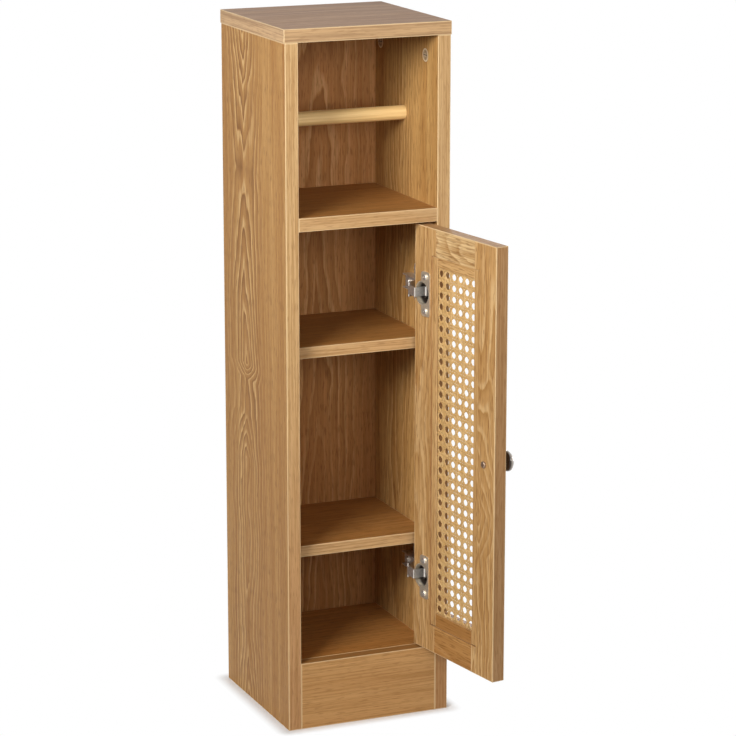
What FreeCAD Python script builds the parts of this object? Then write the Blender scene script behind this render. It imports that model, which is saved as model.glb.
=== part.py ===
import FreeCAD, Part
import math
import os

# Freestanding toilet roll holder: a slim cabinet with an open roll compartment
# above a cupboard whose cane door stands open.
# X runs to the right, Y to the back, Z up, in millimetres.
# The origin is on the floor, in the middle of the cabinet's front edge.

# cabinet
cabinet_width = 192.0
cabinet_depth = 192.0
cabinet_height = 780.0
board = 15.0
board_edge_round = 0.6
top_overhang = 1.0
plinth_height = 76.2
upper_shelf_top = 577.0
middle_shelf_top = 430.5
lower_shelf_top = 206.0
loose_shelf_board = 12.7
loose_shelf_side_play = 0.5
back_board = 3.0
back_recess = 18.0
back_groove_depth = 5.0
groove_play = 0.2

# round wooden rod for the roll
rod_diameter = 16.0
rod_height_share = 0.488
rod_depth = 92.0
rod_grip = 4.5
rod_end_play = 0.5
rod_side_play = 0.08
rod_free_gap = 1.2
rod_end_chamfer = 1.0

# cam fittings and wooden dowels
cam_diameter = 14.6
cam_length = 12.0
cam_reach = 25.5
cam_play = 0.2
bolt_thread_diameter = 5.0
bolt_thread_length = 10.5
bolt_neck_diameter = 4.4
bolt_head_diameter = 6.6
bolt_head_length = 4.0
bolt_channel_diameter = 8.0
fixing_front_inset = 34.0
fixing_back_inset = 14.0
dowel_diameter = 8.0
dowel_in_edge = 20.0
dowel_in_face = 9.5
dowel_play = 0.1
dowel_end_room = 0.5
plinth_dowel_spread = 28.0
bottom_dowel_from_cam = 13.0

# shelf pins
pin_diameter = 5.0
pin_in_board = 9.0
pin_reach = 8.0
pin_collar_diameter = 8.0
pin_collar_length = 1.0
pin_flat = 0.7
pin_front_inset = 32.0
pin_back_inset = 28.0
pin_play = 0.1

# door
door_board = 15.0
door_side_gap = 2.2
door_end_gap = 2.5
stile_width = 41.0
top_rail_width = 41.8
bottom_rail_width = 46.7
rebate_side_width = 8.0
rebate_top_width = 11.6
rebate_bottom_width = 16.0
rebate_depth = 4.0
door_open_angle = 98.8
frame_dowel_diameter = 6.0
frame_dowel_length = 24.0
frame_dowel_spread = 20.0

# cane panel
cane_thickness = 1.6
bead_thickness = 1.4
bead_play = 0.15
bead_end_gap = 0.9
bead_edge_round = 0.4
cane_play = 0.4
cane_columns = 6
cane_rows = 32
cane_hole_share = 0.54

# concealed hinges
upper_hinge_inset = 75.0
lower_hinge_inset = 83.5
hinge_pin_from_edge = 8.0
hinge_pin_depth = 9.6
hinge_pin_diameter = 2.4
hinge_pin_play = 0.06
hinge_pin_fit = 0.02
hinge_barrel_wall = 1.1
hinge_neck_height = 10.0
hinge_cup_diameter = 26.0
hinge_cup_from_edge = 16.0
hinge_cup_wall = 0.7
hinge_cup_play = 0.15
hinge_cup_room = 0.4
hinge_cheek = 2.0
hinge_cheek_gap = 0.5
flange_width = 17.0
flange_height = 50.0
flange_from_edge = 22.0
flange_sheet = 1.0
flange_rim = 1.0
flange_corner = 4.0
arm_sheet = 2.0
arm_height = 16.0
arm_side = 3.5
arm_side_sheet = 1.2
arm_nose_from_edge = 22.0
arm_leg_clearance = 5.0
arm_crank_run = 11.0
arm_length = 36.0
plate_block = 3.5
plate_base = 2.0
plate_length = 34.0
plate_wing_width = 12.0
plate_wing_height = 44.0
plate_screw_spread = 32.0

# screws
small_screw_diameter = 3.5
small_screw_head = 6.8
small_screw_head_height = 1.8
plate_screw_length = 11.0
cup_screw_length = 10.0
cup_screw_spread = 38.0
arm_screw_diameter = 4.0
arm_screw_head = 7.5
arm_screw_head_height = 2.2
screw_play = 0.1
recess_width = 1.0
recess_share = 0.62
recess_depth = 1.0

# knob
knob_diameter = 23.0
knob_projection = 21.0
knob_stem_diameter = 9.0
knob_foot_diameter = 13.0
knob_foot_height = 2.0
knob_head_height = 11.0
knob_from_free_edge = 20.0
knob_thread_depth = 9.0
knob_screw_diameter = 4.0

# sizes that follow
wide = cabinet_width / 2
inner = wide - board
top_under = cabinet_height - board
compartment_floor = upper_shelf_top
upper_shelf_under = upper_shelf_top - board
bottom_under = plinth_height - board
back_face = cabinet_depth - back_recess - back_board
loose_shelf_front = door_board + 4.0
rod_radius = rod_diameter / 2
rod_z = compartment_floor + rod_height_share * (top_under - compartment_floor)
rod_travel = rod_grip + rod_free_gap
rod_hole_left = rod_grip + rod_end_play
rod_hole_right = rod_grip + rod_travel + rod_end_play
cam_z = top_under - cam_reach
fixing_y = (fixing_front_inset, back_face - fixing_back_inset)
dowel_y = (
    fixing_y[0] + (fixing_y[1] - fixing_y[0]) / 4,
    fixing_y[1] - (fixing_y[1] - fixing_y[0]) / 4,
)
door_right = inner - door_side_gap
door_left = -door_right
door_low = plinth_height + door_end_gap
door_high = upper_shelf_under - door_end_gap
opening_left = door_left + stile_width
opening_right = door_right - stile_width
opening_low = door_low + bottom_rail_width
opening_high = door_high - top_rail_width
rebate_left = opening_left - rebate_side_width
rebate_right = opening_right + rebate_side_width
rebate_low = opening_low - rebate_bottom_width
rebate_high = opening_high + rebate_top_width
hinge_x = door_right - hinge_pin_from_edge
hinge_y = door_board - hinge_pin_depth
hinge_heights = {"upper": door_high - upper_hinge_inset, "lower": door_low + lower_hinge_inset}
cup_radius = hinge_cup_diameter / 2
cup_inner_radius = cup_radius - hinge_cup_wall
cup_x = door_right - hinge_cup_from_edge
barrel_radius = hinge_pin_diameter / 2 + hinge_pin_play + hinge_barrel_wall
cup_depth = hinge_pin_depth + barrel_radius + hinge_cup_room + hinge_cup_wall
flange_x = door_right - flange_from_edge
nose_x = door_right - arm_nose_from_edge
arm_x = inner - plate_base - plate_block - arm_sheet / 2
arm_leg_end = door_board + flange_sheet + arm_leg_clearance
arm_back_start = arm_leg_end + arm_crank_run
plate_front = arm_back_start + 2.0
plate_middle = plate_front + plate_length / 2
cane_front = door_board - rebate_depth
knob_x = door_left + knob_from_free_edge
knob_z = (door_low + door_high) / 2

os.makedirs("parts", exist_ok=True)

X_AXIS = FreeCAD.Vector(1, 0, 0)
Y_AXIS = FreeCAD.Vector(0, 1, 0)
Z_AXIS = FreeCAD.Vector(0, 0, 1)


def box(x0, x1, y0, y1, z0, z1):
    """Block between two corners."""
    return Part.makeBox(x1 - x0, y1 - y0, z1 - z0, FreeCAD.Vector(x0, y0, z0))


def soft_board(x0, x1, y0, y1, z0, z1):
    """Board with lightly rounded edges."""
    block = box(x0, x1, y0, y1, z0, z1)
    return block.makeFillet(board_edge_round, block.Edges)


def cylinder(x, y, z, radius, length, axis):
    """Cylinder from a start point along an axis."""
    return Part.makeCylinder(radius, length, FreeCAD.Vector(x, y, z), axis)


def frame(origin, first, third):
    """Placement whose own X runs along first and own Z along third."""
    second = third.cross(first)
    matrix = FreeCAD.Matrix(
        first.x, second.x, third.x, origin.x,
        first.y, second.y, third.y, origin.y,
        first.z, second.z, third.z, origin.z,
        0, 0, 0, 1,
    )
    return FreeCAD.Placement(matrix)


def placed(shape, placement):
    """Copy of a shape that was made at the origin, put in its place."""
    copy = shape.copy()
    copy.Placement = placement.multiply(copy.Placement)
    return copy


def save(name, shape):
    """Write one node."""
    shape.exportStep("parts/" + name + ".step")


def group(shapes):
    """Several equal fasteners as one node."""
    return Part.makeCompound(shapes)


def peg(radius, start, end, chamfer):
    """Round peg along X with chamfered ends."""
    body = Part.makeCylinder(radius, end - start, FreeCAD.Vector(start, 0, 0), X_AXIS)
    rims = [edge for edge in body.Edges if edge.Curve.TypeId == "Part::GeomCircle"]
    return body.makeChamfer(chamfer, rims)


def cross_recess(head_radius, depth):
    """Cross-shaped cutter that reaches from Z = 0 down into a screw head."""
    reach = head_radius * recess_share
    half = recess_width / 2
    first = box(-reach, reach, -half, half, -depth, 0.1)
    second = box(-half, half, -reach, reach, -depth, 0.1)
    return first.fuse(second)


def screw(diameter, length, head_diameter, head_height):
    """Pan-head screw: the head stands on Z = 0, the shank goes down."""
    head = Part.makeCylinder(head_diameter / 2, head_height)
    top = [edge for edge in head.Edges if edge.BoundBox.ZMin > head_height - 0.01
           and edge.Curve.TypeId == "Part::GeomCircle"]
    head = head.makeFillet(head_height * 0.45, top)
    shank = Part.makeCylinder(diameter / 2, length, FreeCAD.Vector(0, 0, -length))
    recess = cross_recess(head_diameter / 2, min(recess_depth, head_height * 0.7))
    recess.translate(FreeCAD.Vector(0, 0, head_height))
    return head.fuse(shank).removeSplitter().cut(recess)


def screw_hole(diameter, length):
    """Hole for that screw, a little longer than its shank."""
    return Part.makeCylinder(
        diameter / 2 + screw_play, length + 1.5, FreeCAD.Vector(0, 0, -length - 0.5)
    )


# Cam fitting: own Z goes into the board from its face, own X to the mating board.
def cam_lock():
    body = Part.makeCylinder(cam_diameter / 2, cam_length)
    channel = cylinder(-bolt_head_length, 0, board / 2, bolt_head_diameter / 2 + 0.4,
                       cam_diameter, X_AXIS)
    recess = cross_recess(cam_diameter / 2, 1.8)
    recess.rotate(FreeCAD.Vector(0, 0, 0), X_AXIS, 180)
    return body.cut(channel).cut(recess)


def cam_bolt():
    half_head = bolt_head_length / 2
    head = cylinder(-half_head, 0, board / 2, bolt_head_diameter / 2, bolt_head_length, X_AXIS)
    neck = cylinder(half_head, 0, board / 2, bolt_neck_diameter / 2,
                    cam_reach - half_head, X_AXIS)
    collar = cylinder(cam_reach - 3.0, 0, board / 2, bolt_head_diameter / 2, 3.0, X_AXIS)
    thread = cylinder(cam_reach, 0, board / 2, bolt_thread_diameter / 2,
                      bolt_thread_length, X_AXIS)
    return head.fuse(neck).fuse(collar).fuse(thread).removeSplitter()


def cam_bore():
    seat = Part.makeCylinder(cam_diameter / 2 + cam_play, cam_length + 0.5,
                             FreeCAD.Vector(0, 0, -0.5))
    channel = cylinder(0, 0, board / 2, bolt_channel_diameter / 2, cam_reach + 1.0, X_AXIS)
    return seat.fuse(channel)


def bolt_bore():
    return cylinder(cam_reach - 1.0, 0, board / 2, bolt_thread_diameter / 2 + screw_play,
                    bolt_thread_length + 1.5, X_AXIS)


# Wooden dowel: own X = 0 is the joint, the edge of one board lies on its minus side.
def joint_dowel(diameter, in_edge, in_face):
    return peg(diameter / 2, -in_edge, in_face, 0.8)


def joint_dowel_hole(diameter, in_edge, in_face):
    start = -in_edge - dowel_end_room
    return cylinder(start, 0, 0, diameter / 2 + dowel_play,
                    in_edge + in_face + 2 * dowel_end_room, X_AXIS)


top_cam_places = []
top_dowel_places = []
side_cam_places = []
side_dowel_places = []
for side in (-1, 1):
    inward = FreeCAD.Vector(side, 0, 0)
    for y in fixing_y:
        top_cam_places.append(frame(FreeCAD.Vector(side * inner, y, cam_z), Z_AXIS, inward))
    for y in dowel_y:
        spot = FreeCAD.Vector(side * (inner + board / 2), y, top_under)
        top_dowel_places.append(frame(spot, Z_AXIS, inward))
    for under in (upper_shelf_under, bottom_under):
        for y in fixing_y:
            spot = FreeCAD.Vector(side * (inner - cam_reach), y, under)
            side_cam_places.append(frame(spot, inward, Z_AXIS))
        for y in dowel_y:
            spot = FreeCAD.Vector(side * inner, y, under + board / 2)
            side_dowel_places.append(frame(spot, inward, Z_AXIS))
    for offset in (-plinth_dowel_spread / 2, plinth_dowel_spread / 2):
        spot = FreeCAD.Vector(side * inner, board / 2, bottom_under / 2 + offset)
        side_dowel_places.append(frame(spot, inward, Z_AXIS))
front_dowel_places = []
bottom_dowel_x = inner - cam_reach - bottom_dowel_from_cam
for x in (-bottom_dowel_x, bottom_dowel_x):
    spot = FreeCAD.Vector(x, board, bottom_under + board / 2)
    front_dowel_places.append(frame(spot, FreeCAD.Vector(0, -1, 0), Z_AXIS))

cam_bores = group([placed(cam_bore(), place) for place in top_cam_places])
cam_bolt_bores = group([placed(bolt_bore(), place) for place in top_cam_places])
side_cam_bores = group([placed(cam_bore(), place) for place in side_cam_places])
side_bolt_bores = group([placed(bolt_bore(), place) for place in side_cam_places])
dowel_places = top_dowel_places + side_dowel_places + front_dowel_places
dowel_hole = joint_dowel_hole(dowel_diameter, dowel_in_edge, dowel_in_face)
dowel_bores = group([placed(dowel_hole, place) for place in dowel_places])

save("top_cam_locks", group([placed(cam_lock(), place) for place in top_cam_places]))
save("top_cam_bolts", group([placed(cam_bolt(), place) for place in top_cam_places]))
save("shelf_cam_locks", group([placed(cam_lock(), place) for place in side_cam_places]))
save("shelf_cam_bolts", group([placed(cam_bolt(), place) for place in side_cam_places]))
dowel = joint_dowel(dowel_diameter, dowel_in_edge, dowel_in_face)
save("board_dowels", group([placed(dowel, place) for place in dowel_places]))


# Shelf pin: own X goes out of the side panel, own Z is up; the shelf lies on the flat.
pin_top = pin_diameter / 2 - pin_flat


def shelf_pin():
    stem = cylinder(-pin_in_board, 0, 0, pin_diameter / 2, pin_in_board + pin_reach, X_AXIS)
    collar = cylinder(0, 0, 0, pin_collar_diameter / 2, pin_collar_length, X_AXIS)
    body = stem.fuse(collar).removeSplitter()
    above = box(0, pin_reach + 1, -pin_collar_diameter, pin_collar_diameter,
                pin_top, pin_collar_diameter)
    return body.cut(above)


def shelf_pin_hole():
    return cylinder(-pin_in_board - 0.5, 0, 0, pin_diameter / 2 + pin_play,
                    pin_in_board + 1.5, X_AXIS)


pin_places = []
for shelf_top in (middle_shelf_top, lower_shelf_top):
    pin_z = shelf_top - loose_shelf_board - pin_top
    for side in (-1, 1):
        for y in (loose_shelf_front + pin_front_inset, back_face - pin_back_inset):
            spot = FreeCAD.Vector(side * inner, y, pin_z)
            pin_places.append(frame(spot, FreeCAD.Vector(-side, 0, 0), Z_AXIS))
save("shelf_pins", group([placed(shelf_pin(), place) for place in pin_places]))
pin_bores = group([placed(shelf_pin_hole(), place) for place in pin_places])


# Boards of the cabinet
back_groove = box(-inner - back_groove_depth, inner + back_groove_depth,
                  back_face - groove_play, back_face + back_board + groove_play,
                  bottom_under, top_under + back_groove_depth)
plate_screw_places = []
for z in hinge_heights.values():
    for offset in (-plate_screw_spread / 2, plate_screw_spread / 2):
        spot = FreeCAD.Vector(inner - plate_base, plate_middle, z + offset)
        plate_screw_places.append(frame(spot, Y_AXIS, FreeCAD.Vector(-1, 0, 0)))
plate_hole = screw_hole(small_screw_diameter, plate_screw_length)
plate_screw_bores = group([placed(plate_hole, place) for place in plate_screw_places])


def side_panel(side, rod_hole):
    inside = side * inner
    outside = side * wide
    body = soft_board(min(inside, outside), max(inside, outside), 0, cabinet_depth, 0, top_under)
    body = body.cut(cylinder(inside - side, rod_depth, rod_z, rod_radius + rod_side_play,
                             rod_hole + 1, FreeCAD.Vector(side, 0, 0)))
    for cutter in (back_groove, cam_bores, side_bolt_bores, dowel_bores, pin_bores):
        body = body.cut(cutter)
    if side > 0:
        body = body.cut(plate_screw_bores)
    return body


save("left_side_panel", side_panel(-1, rod_hole_left))
save("right_side_panel", side_panel(1, rod_hole_right))
top = soft_board(-wide - top_overhang, wide + top_overhang, 0, cabinet_depth,
                 top_under, cabinet_height)
for cutter in (back_groove, cam_bolt_bores, dowel_bores):
    top = top.cut(cutter)
save("top_panel", top)
upper_shelf = soft_board(-inner, inner, 0, back_face, upper_shelf_under, upper_shelf_top)
save("upper_shelf", upper_shelf.cut(side_cam_bores).cut(dowel_bores))
for name, shelf_top in (("middle_shelf", middle_shelf_top), ("lower_shelf", lower_shelf_top)):
    shelf_half = inner - loose_shelf_side_play
    save(name, soft_board(-shelf_half, shelf_half, loose_shelf_front, back_face - groove_play,
                          shelf_top - loose_shelf_board, shelf_top))
bottom = soft_board(-inner, inner, board, back_face, bottom_under, plinth_height)
save("bottom_panel", bottom.cut(side_cam_bores).cut(dowel_bores))
plinth = soft_board(-inner, inner, 0, board, 0, plinth_height)
save("plinth_board", plinth.cut(dowel_bores))
back_half = inner + back_groove_depth - dowel_end_room
save("back_panel", box(-back_half, back_half, back_face, back_face + back_board,
                       bottom_under, top_under + back_groove_depth - dowel_end_room))

# Rod for the roll
rod_half = inner + rod_grip
rod = peg(rod_radius, -rod_half, rod_half, rod_end_chamfer)
rod.translate(FreeCAD.Vector(0, rod_depth, rod_z))
save("roll_rod", rod)


# Door, drawn closed and then turned open about the hinge pins
def opened(shape):
    copy = shape.copy()
    copy.rotate(FreeCAD.Vector(hinge_x, hinge_y, 0), Z_AXIS, door_open_angle)
    return copy


rebate = box(rebate_left, rebate_right, cane_front, door_board + 1, rebate_low, rebate_high)
cup_screw_places = []
for z in hinge_heights.values():
    for offset in (-cup_screw_spread / 2, cup_screw_spread / 2):
        spot = FreeCAD.Vector(flange_x, door_board + flange_sheet, z + offset)
        cup_screw_places.append(frame(spot, X_AXIS, Y_AXIS))
cup_hole = screw_hole(small_screw_diameter, cup_screw_length)
cup_screw_bores = group([placed(cup_hole, place) for place in cup_screw_places])
cup_bores = group([
    cylinder(cup_x, door_board + 1, z, cup_radius + hinge_cup_play,
             cup_depth + hinge_cup_play + 1, -Y_AXIS)
    for z in hinge_heights.values()
])
frame_dowel_places = []
for x, direction in ((opening_left, -X_AXIS), (opening_right, X_AXIS)):
    for middle in (door_low + bottom_rail_width / 2, door_high - top_rail_width / 2):
        for offset in (-frame_dowel_spread / 2, frame_dowel_spread / 2):
            spot = FreeCAD.Vector(x, cane_front / 2, middle + offset)
            frame_dowel_places.append(frame(spot, direction, Z_AXIS))
half_dowel = frame_dowel_length / 2
frame_hole = joint_dowel_hole(frame_dowel_diameter, half_dowel, half_dowel)
frame_dowel_bores = group([placed(frame_hole, place) for place in frame_dowel_places])
knob_hole = cylinder(knob_x, -1, knob_z, knob_screw_diameter / 2 + screw_play,
                     door_board + 2, Y_AXIS)

hinge_stile = soft_board(opening_right, door_right, 0, door_board, door_low, door_high)
for cutter in (rebate, cup_bores, cup_screw_bores, frame_dowel_bores):
    hinge_stile = hinge_stile.cut(cutter)
save("door_hinge_stile", opened(hinge_stile))
free_stile = soft_board(door_left, opening_left, 0, door_board, door_low, door_high)
for cutter in (rebate, frame_dowel_bores, knob_hole):
    free_stile = free_stile.cut(cutter)
save("door_free_stile", opened(free_stile))
bottom_rail = soft_board(opening_left, opening_right, 0, door_board, door_low, opening_low)
save("door_bottom_rail", opened(bottom_rail.cut(rebate).cut(frame_dowel_bores)))
top_rail = soft_board(opening_left, opening_right, 0, door_board, opening_high, door_high)
save("door_top_rail", opened(top_rail.cut(rebate).cut(frame_dowel_bores)))
frame_dowel = joint_dowel(frame_dowel_diameter, half_dowel, half_dowel)
frame_dowels = group([placed(frame_dowel, place) for place in frame_dowel_places])
save("door_frame_dowels", opened(frame_dowels))


# Cane panel: one sheet with an eight-sided hole in every mesh of the weave
def octagon(x, z, across):
    """Closed wire of an eight-sided hole, flat sides level and upright."""
    reach = across / 2 / math.cos(math.pi / 8)
    corners = []
    for step in range(9):
        angle = math.pi / 8 + step * math.pi / 4
        corners.append(FreeCAD.Vector(x + reach * math.cos(angle), cane_front,
                                      z + reach * math.sin(angle)))
    return Part.makePolygon(corners)


column_pitch = (opening_right - opening_left) / cane_columns
row_pitch = (opening_high - opening_low) / cane_rows
cane_hole = cane_hole_share * min(column_pitch, row_pitch)
cane_left = rebate_left + cane_play
cane_right = rebate_right - cane_play
cane_low = rebate_low + cane_play
cane_high = rebate_high - cane_play
outline = Part.makePolygon([
    FreeCAD.Vector(cane_left, cane_front, cane_low),
    FreeCAD.Vector(cane_right, cane_front, cane_low),
    FreeCAD.Vector(cane_right, cane_front, cane_high),
    FreeCAD.Vector(cane_left, cane_front, cane_high),
    FreeCAD.Vector(cane_left, cane_front, cane_low),
])
meshes = []
for column in range(cane_columns):
    for row in range(cane_rows):
        meshes.append(octagon(opening_left + (column + 0.5) * column_pitch,
                              opening_low + (row + 0.5) * row_pitch, cane_hole))
cane_face = Part.makeFace([outline] + meshes, "Part::FaceMakerBullseye")
save("cane_panel", opened(cane_face.extrude(FreeCAD.Vector(0, cane_thickness, 0))))


# Beads that hold the cane in the rebate
def cane_bead(x0, x1, z0, z1):
    """Thin bead on the cane, its four face edges lightly rounded."""
    bead_back = cane_front + cane_thickness
    bead_face = bead_back + bead_thickness
    block = box(x0, x1, bead_back, bead_face, z0, z1)
    face_edges = [edge for edge in block.Edges if edge.BoundBox.YMin > bead_face - 0.01]
    return opened(block.makeFillet(bead_edge_round, face_edges))


upright_low = rebate_low + bead_end_gap
upright_high = rebate_high - bead_end_gap
level_left = opening_left + bead_play
level_right = opening_right - bead_play
save("cane_beads", group([
    cane_bead(rebate_left + bead_play, opening_left, upright_low, upright_high),
    cane_bead(opening_right, rebate_right - bead_play, upright_low, upright_high),
    cane_bead(level_left, level_right, rebate_low + bead_play, opening_low),
    cane_bead(level_left, level_right, opening_high, rebate_high - bead_play),
]))


# Hinges. Own origin: the hinge's height, with X and Y as in the closed cabinet.
def hinge_cup():
    """Pressed cup with its flange and the two cheeks that hold the pin."""
    front = door_board - cup_depth
    shell = cylinder(cup_x, door_board + flange_sheet, 0, cup_radius,
                     cup_depth + flange_sheet, -Y_AXIS)
    plate = box(flange_x - flange_width / 2, flange_x + flange_width / 2,
                door_board, door_board + flange_sheet, -flange_height / 2, flange_height / 2)
    corners = [edge for edge in plate.Edges if abs(edge.tangentAt(edge.FirstParameter).y) > 0.9]
    plate = plate.makeFillet(flange_corner, corners)
    rim = cylinder(cup_x, door_board, 0, cup_radius + flange_rim, flange_sheet, Y_AXIS)
    hollow = cylinder(cup_x, door_board + flange_sheet + 1, 0, cup_inner_radius,
                      cup_depth - hinge_cup_wall + flange_sheet + 1, -Y_AXIS)
    cup = shell.fuse(plate).fuse(rim).removeSplitter().cut(hollow)
    start = hinge_neck_height / 2 + hinge_cheek_gap
    core = cylinder(cup_x, front, 0, cup_radius - hinge_cup_wall / 2, cup_depth, Y_AXIS)
    for low in (start, -start - hinge_cheek):
        cheek = box(hinge_x - barrel_radius, hinge_x + barrel_radius, front + hinge_cup_wall / 2,
                    hinge_y + barrel_radius, low, low + hinge_cheek)
        cup = cup.fuse(cheek.common(core))
    cup = cup.removeSplitter()
    pin_length = 2 * (start + hinge_cheek) + 2
    cup = cup.cut(cylinder(hinge_x, hinge_y, -pin_length / 2,
                           hinge_pin_diameter / 2 + hinge_pin_fit, pin_length, Z_AXIS))
    for offset in (-cup_screw_spread / 2, cup_screw_spread / 2):
        cup = cup.cut(cylinder(flange_x, door_board - 1, offset,
                               small_screw_diameter / 2 + screw_play, flange_sheet + 2, Y_AXIS))
    return cup


def hinge_pin():
    half = hinge_neck_height / 2 + hinge_cheek_gap + hinge_cheek
    return cylinder(hinge_x, hinge_y, -half, hinge_pin_diameter / 2, 2 * half, Z_AXIS)


def strip(points, thickness, height):
    """Bent strip of sheet that follows points in plan, rounded at its bends."""
    body = None
    for (x0, y0), (x1, y1) in zip(points, points[1:]):
        length = math.hypot(x1 - x0, y1 - y0)
        leg = box(0, length, -thickness / 2, thickness / 2, -height / 2, height / 2)
        leg.rotate(FreeCAD.Vector(0, 0, 0), Z_AXIS, math.degrees(math.atan2(y1 - y0, x1 - x0)))
        leg.translate(FreeCAD.Vector(x0, y0, 0))
        body = leg if body is None else body.fuse(leg)
    for x, y in points[1:-1]:
        body = body.fuse(cylinder(x, y, -height / 2, thickness / 2, height, Z_AXIS))
    return body


arm_screw_y = (plate_front + plate_length * 0.28, plate_front + plate_length * 0.72)


def hinge_arm():
    """Fixed arm: barrel on the pin, neck out of the cup, crank, and channel on the plate."""
    crank_start = (nose_x, arm_leg_end)
    crank_end = (arm_x, arm_back_start)
    neck = strip([(hinge_x, hinge_y), (nose_x, hinge_y), crank_start], arm_sheet, hinge_neck_height)
    back = strip([crank_start, crank_end, (arm_x, arm_back_start + arm_length)],
                 arm_sheet, arm_height)
    nose = cylinder(nose_x, arm_leg_end, -arm_height / 2, arm_sheet / 2, arm_height, Z_AXIS)
    barrel = cylinder(hinge_x, hinge_y, -hinge_neck_height / 2, barrel_radius,
                      hinge_neck_height, Z_AXIS)
    arm = neck.fuse(back).fuse(nose).fuse(barrel)
    for low in (-arm_height / 2, arm_height / 2 - arm_side_sheet):
        arm = arm.fuse(box(arm_x - arm_sheet / 2 - arm_side, arm_x, arm_back_start + arm_sheet,
                           arm_back_start + arm_length, low, low + arm_side_sheet))
    arm = arm.removeSplitter()
    arm = arm.cut(cylinder(hinge_x, hinge_y, -hinge_neck_height, hinge_pin_diameter / 2
                           + hinge_pin_play, 2 * hinge_neck_height, Z_AXIS))
    for y in arm_screw_y:
        arm = arm.cut(cylinder(arm_x - arm_sheet, y, 0, arm_screw_diameter / 2 + screw_play,
                               2 * arm_sheet, X_AXIS))
    return arm


def hinge_plate():
    """Cross-shaped plate on the side panel with a raised block below the arm."""
    face = inner - plate_base
    block = box(face - plate_block, face, plate_front, plate_front + plate_length,
                -arm_height / 2, arm_height / 2)
    base = box(face, inner, plate_front, plate_front + plate_length,
               -arm_height / 2, arm_height / 2)
    wing = box(face, inner, plate_middle - plate_wing_width / 2,
               plate_middle + plate_wing_width / 2, -plate_wing_height / 2, plate_wing_height / 2)
    corners = [edge for edge in wing.Edges if abs(edge.tangentAt(edge.FirstParameter).x) > 0.9]
    wing = wing.makeFillet(plate_wing_width * 0.4, corners)
    plate = block.fuse(base).fuse(wing).removeSplitter()
    for y in arm_screw_y:
        plate = plate.cut(cylinder(face - plate_block - 1, y, 0, arm_screw_diameter / 2
                                   + screw_play, plate_block + plate_base + 2, X_AXIS))
    for offset in (-plate_screw_spread / 2, plate_screw_spread / 2):
        plate = plate.cut(cylinder(face - 1, plate_middle, offset, small_screw_diameter / 2
                                   + screw_play, plate_base + 2, X_AXIS))
    return plate


arm_screw_length = arm_sheet + plate_block + plate_base - 0.5
arm_screw = screw(arm_screw_diameter, arm_screw_length, arm_screw_head, arm_screw_head_height)
arm_screws = {"fixing": [], "adjusting": []}
pins = []
for name, z in hinge_heights.items():
    lift = FreeCAD.Placement(FreeCAD.Vector(0, 0, z), FreeCAD.Rotation())
    save(name + "_hinge_cup", opened(placed(hinge_cup(), lift)))
    save(name + "_hinge_arm", placed(hinge_arm(), lift))
    save(name + "_hinge_plate", placed(hinge_plate(), lift))
    pins.append(placed(hinge_pin(), lift))
    for kind, y in zip(("adjusting", "fixing"), arm_screw_y):
        spot = FreeCAD.Vector(arm_x - arm_sheet / 2, y, z)
        arm_screws[kind].append(placed(arm_screw, frame(spot, Y_AXIS, -X_AXIS)))
save("hinge_pins", opened(group(pins)))
save("hinge_fixing_screws", group(arm_screws["fixing"]))
save("hinge_adjusting_screws", group(arm_screws["adjusting"]))
plate_screw = screw(small_screw_diameter, plate_screw_length, small_screw_head,
                    small_screw_head_height)
save("hinge_plate_screws", group([placed(plate_screw, place) for place in plate_screw_places]))
cup_screw = screw(small_screw_diameter, cup_screw_length, small_screw_head,
                  small_screw_head_height)
save("hinge_cup_screws", opened(group([placed(cup_screw, place) for place in cup_screw_places])))


# Knob, turned about its own Z, which points away from the door's front face
def knob():
    radius = knob_diameter / 2
    stem = knob_stem_diameter / 2
    foot = knob_foot_diameter / 2
    shoulder = knob_projection - knob_head_height
    rim = shoulder + knob_head_height * 0.45
    start = FreeCAD.Vector(0, 0, 0)
    foot_edge = FreeCAD.Vector(foot, 0, 0)
    foot_top = FreeCAD.Vector(foot, 0, knob_foot_height)
    waist = FreeCAD.Vector(stem, 0, shoulder * 0.55)
    under = FreeCAD.Vector(stem + (radius - stem) * 0.55, 0, shoulder)
    edge = FreeCAD.Vector(radius, 0, rim)
    crown = FreeCAD.Vector(0, 0, knob_projection)
    cap = knob_projection - rim
    ball = (radius * radius + cap * cap) / (2 * cap)
    half_turn = math.asin(min(1.0, radius / ball)) / 2
    dome = FreeCAD.Vector(ball * math.sin(half_turn), 0,
                          knob_projection - ball + ball * math.cos(half_turn))
    hollow = FreeCAD.Vector(stem + (foot - stem) * 0.25, 0, knob_foot_height + 1.2)
    belly = FreeCAD.Vector(radius - (radius - stem) * 0.12, 0, (shoulder + rim) / 2 - 0.4)
    wire = Part.Wire([
        Part.makeLine(start, foot_edge),
        Part.makeLine(foot_edge, foot_top),
        Part.Arc(foot_top, hollow, waist).toShape(),
        Part.makeLine(waist, under),
        Part.Arc(under, belly, edge).toShape(),
        Part.Arc(edge, dome, crown).toShape(),
        Part.makeLine(crown, start),
    ])
    body = Part.Face(wire).revolve(FreeCAD.Vector(0, 0, 0), Z_AXIS, 360)
    thread = Part.makeCylinder(knob_screw_diameter / 2 + screw_play, knob_thread_depth + 1.5,
                               FreeCAD.Vector(0, 0, -1))
    return body.cut(thread)


knob_place = frame(FreeCAD.Vector(knob_x, 0, knob_z), X_AXIS, -Y_AXIS)
save("knob", opened(placed(knob(), knob_place)))
knob_screw = screw(knob_screw_diameter, door_board + knob_thread_depth - 0.5,
                   arm_screw_head, arm_screw_head_height)
knob_screw_place = frame(FreeCAD.Vector(knob_x, door_board, knob_z), X_AXIS, Y_AXIS)
save("knob_screw", opened(placed(knob_screw, knob_screw_place)))
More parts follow.
